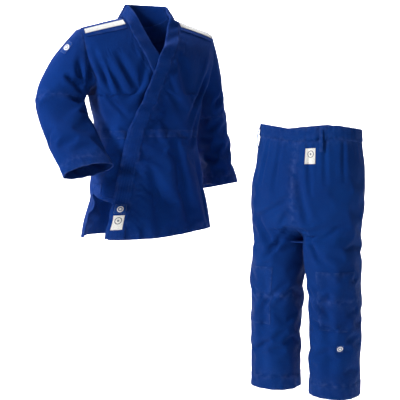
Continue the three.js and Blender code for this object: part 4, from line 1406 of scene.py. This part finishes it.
# Belt loops. Narrow straps of folded cloth, sewn down at both ends, that stand off the waistband.
def belt_loop(name, turn, node):
    half = 0.007 / 0.188
    levels = np.linspace(0, 1, 25)
    height = mix(band_bottom - 0.040, trouser_height - 0.006, levels)
    across = np.linspace(-half, half, 9)
    grid = hip_point(turn + across[None, :], height[:, None])
    out = normals_of(grid)
    out[..., 2] = 0
    out = unit(out)
    stand = 0.0036 + 0.008 * np.sin(np.pi * levels) ** 0.8
    middle = grid + out * stand[:, None, None]
    thick = 0.0013 * np.sqrt(1 - np.linspace(-0.97, 0.97, 9) ** 4)[None, :, None]
    loop = cloth_piece(
        name, trousers_placed(middle + out * thick), trousers_placed(middle - out * thick), trouser_fabric
    )
    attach(loop, "trousers")
    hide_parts(node)
    face = middle + out * 0.0012
    lines = [seam_line(face, row, (0.8, 7.2), 0.0001, count=12) for row in (0.8, 1.6, 22.4, 23.2)]
    lines += [seam_line(face, (1, 23), column, 0.0001, count=40) for column in (1.4, 6.6)]
    stitch_rows(
        f"{name}_stitches", lines, trouser_thread, "trousers", 0.0030, 0.0021, 0.0007, trousers_placed
    )


belt_loop("left_loop", math.radians(-62), "left_belt_loop")
belt_loop("right_loop", math.radians(-150), "right_belt_loop")


# Trouser labels. A plain white label woven with a ring and a dot is sewn on under the waistband,
# and a small badge is sewn on the left shin.
def on_half(side, low_turn, high_turn, low, high, lift_rows=28):
    """Part of a trouser half between two directions, measured round the body or round the leg."""
    half = halves[f"{NAMES[side]}_half"]
    turns = np.linspace(math.radians(low_turn), math.radians(high_turn), 25)
    share = turns / np.pi + 0.5 if low > crotch_height + crotch_reach else turns / (2 * np.pi) + 0.5
    column = share * trouser_columns
    row = np.interp(np.linspace(low, high, lift_rows), trouser_rows, np.arange(len(trouser_rows)))
    return sample(half, row[:, None], column[None, :])


waist_grid = on_half(LEFT, -80, -69, band_bottom - 0.078, band_bottom - 0.025)
wide, high = size_of(waist_grid)
waist_cloth = woven_label(
    "waist_label_cloth", (0.88, 0.87, 0.82), (0.14, 0.15, 0.18), (wide / 2, high * 0.6), 0.012
)
sewn_label("waist_woven_label", waist_grid, waist_cloth, 0.0016, "trousers", "waist_label", trousers_placed)
shin_grid = on_half(LEFT, -64, -49, 0.160, 0.186)
wide, high = size_of(shin_grid)
shin_cloth = woven_label(
    "shin_badge_cloth", (0.006, 0.052, 0.27), (0.80, 0.80, 0.78), (wide / 2, high / 2), 0.010, 0.26, 0.42
)
sewn_label("shin_badge_label", shin_grid, shin_cloth, 0.0016, "left_lower_leg", "shin_badge", trousers_placed)


# The flat patterns of the cut pieces are handed to cut_from, which measures nothing.
def cut_from(grid, closed=False):
    """Joins a closed grid's first column to its end; nothing is measured or declared."""
    if closed:
        grid = np.concatenate([grid, grid[:, :1]], 1)


for shell_name in replaced_by:
    cut_from(pattern[shell_name])
for side in (RIGHT, LEFT):
    cut = pattern[f"{NAMES[side]}_sleeve"]
    upper, lower, cuff = jacket_pieces[f"{NAMES[side]}_sleeve"]
    elbow = int(sleeve_row["elbow"])
    cut_from(cut[elbow:], True)
    cut_from(cut[3 : elbow + 1], True)
    cut = trouser_pattern[f"{NAMES[side]}_half"]
    knee = int(round(trouser_row(knee_height)))
    cut_from(cut[knee:])
    cut_from(cut[int(trouser_row(hem_height)) : knee + 1])

low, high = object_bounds()
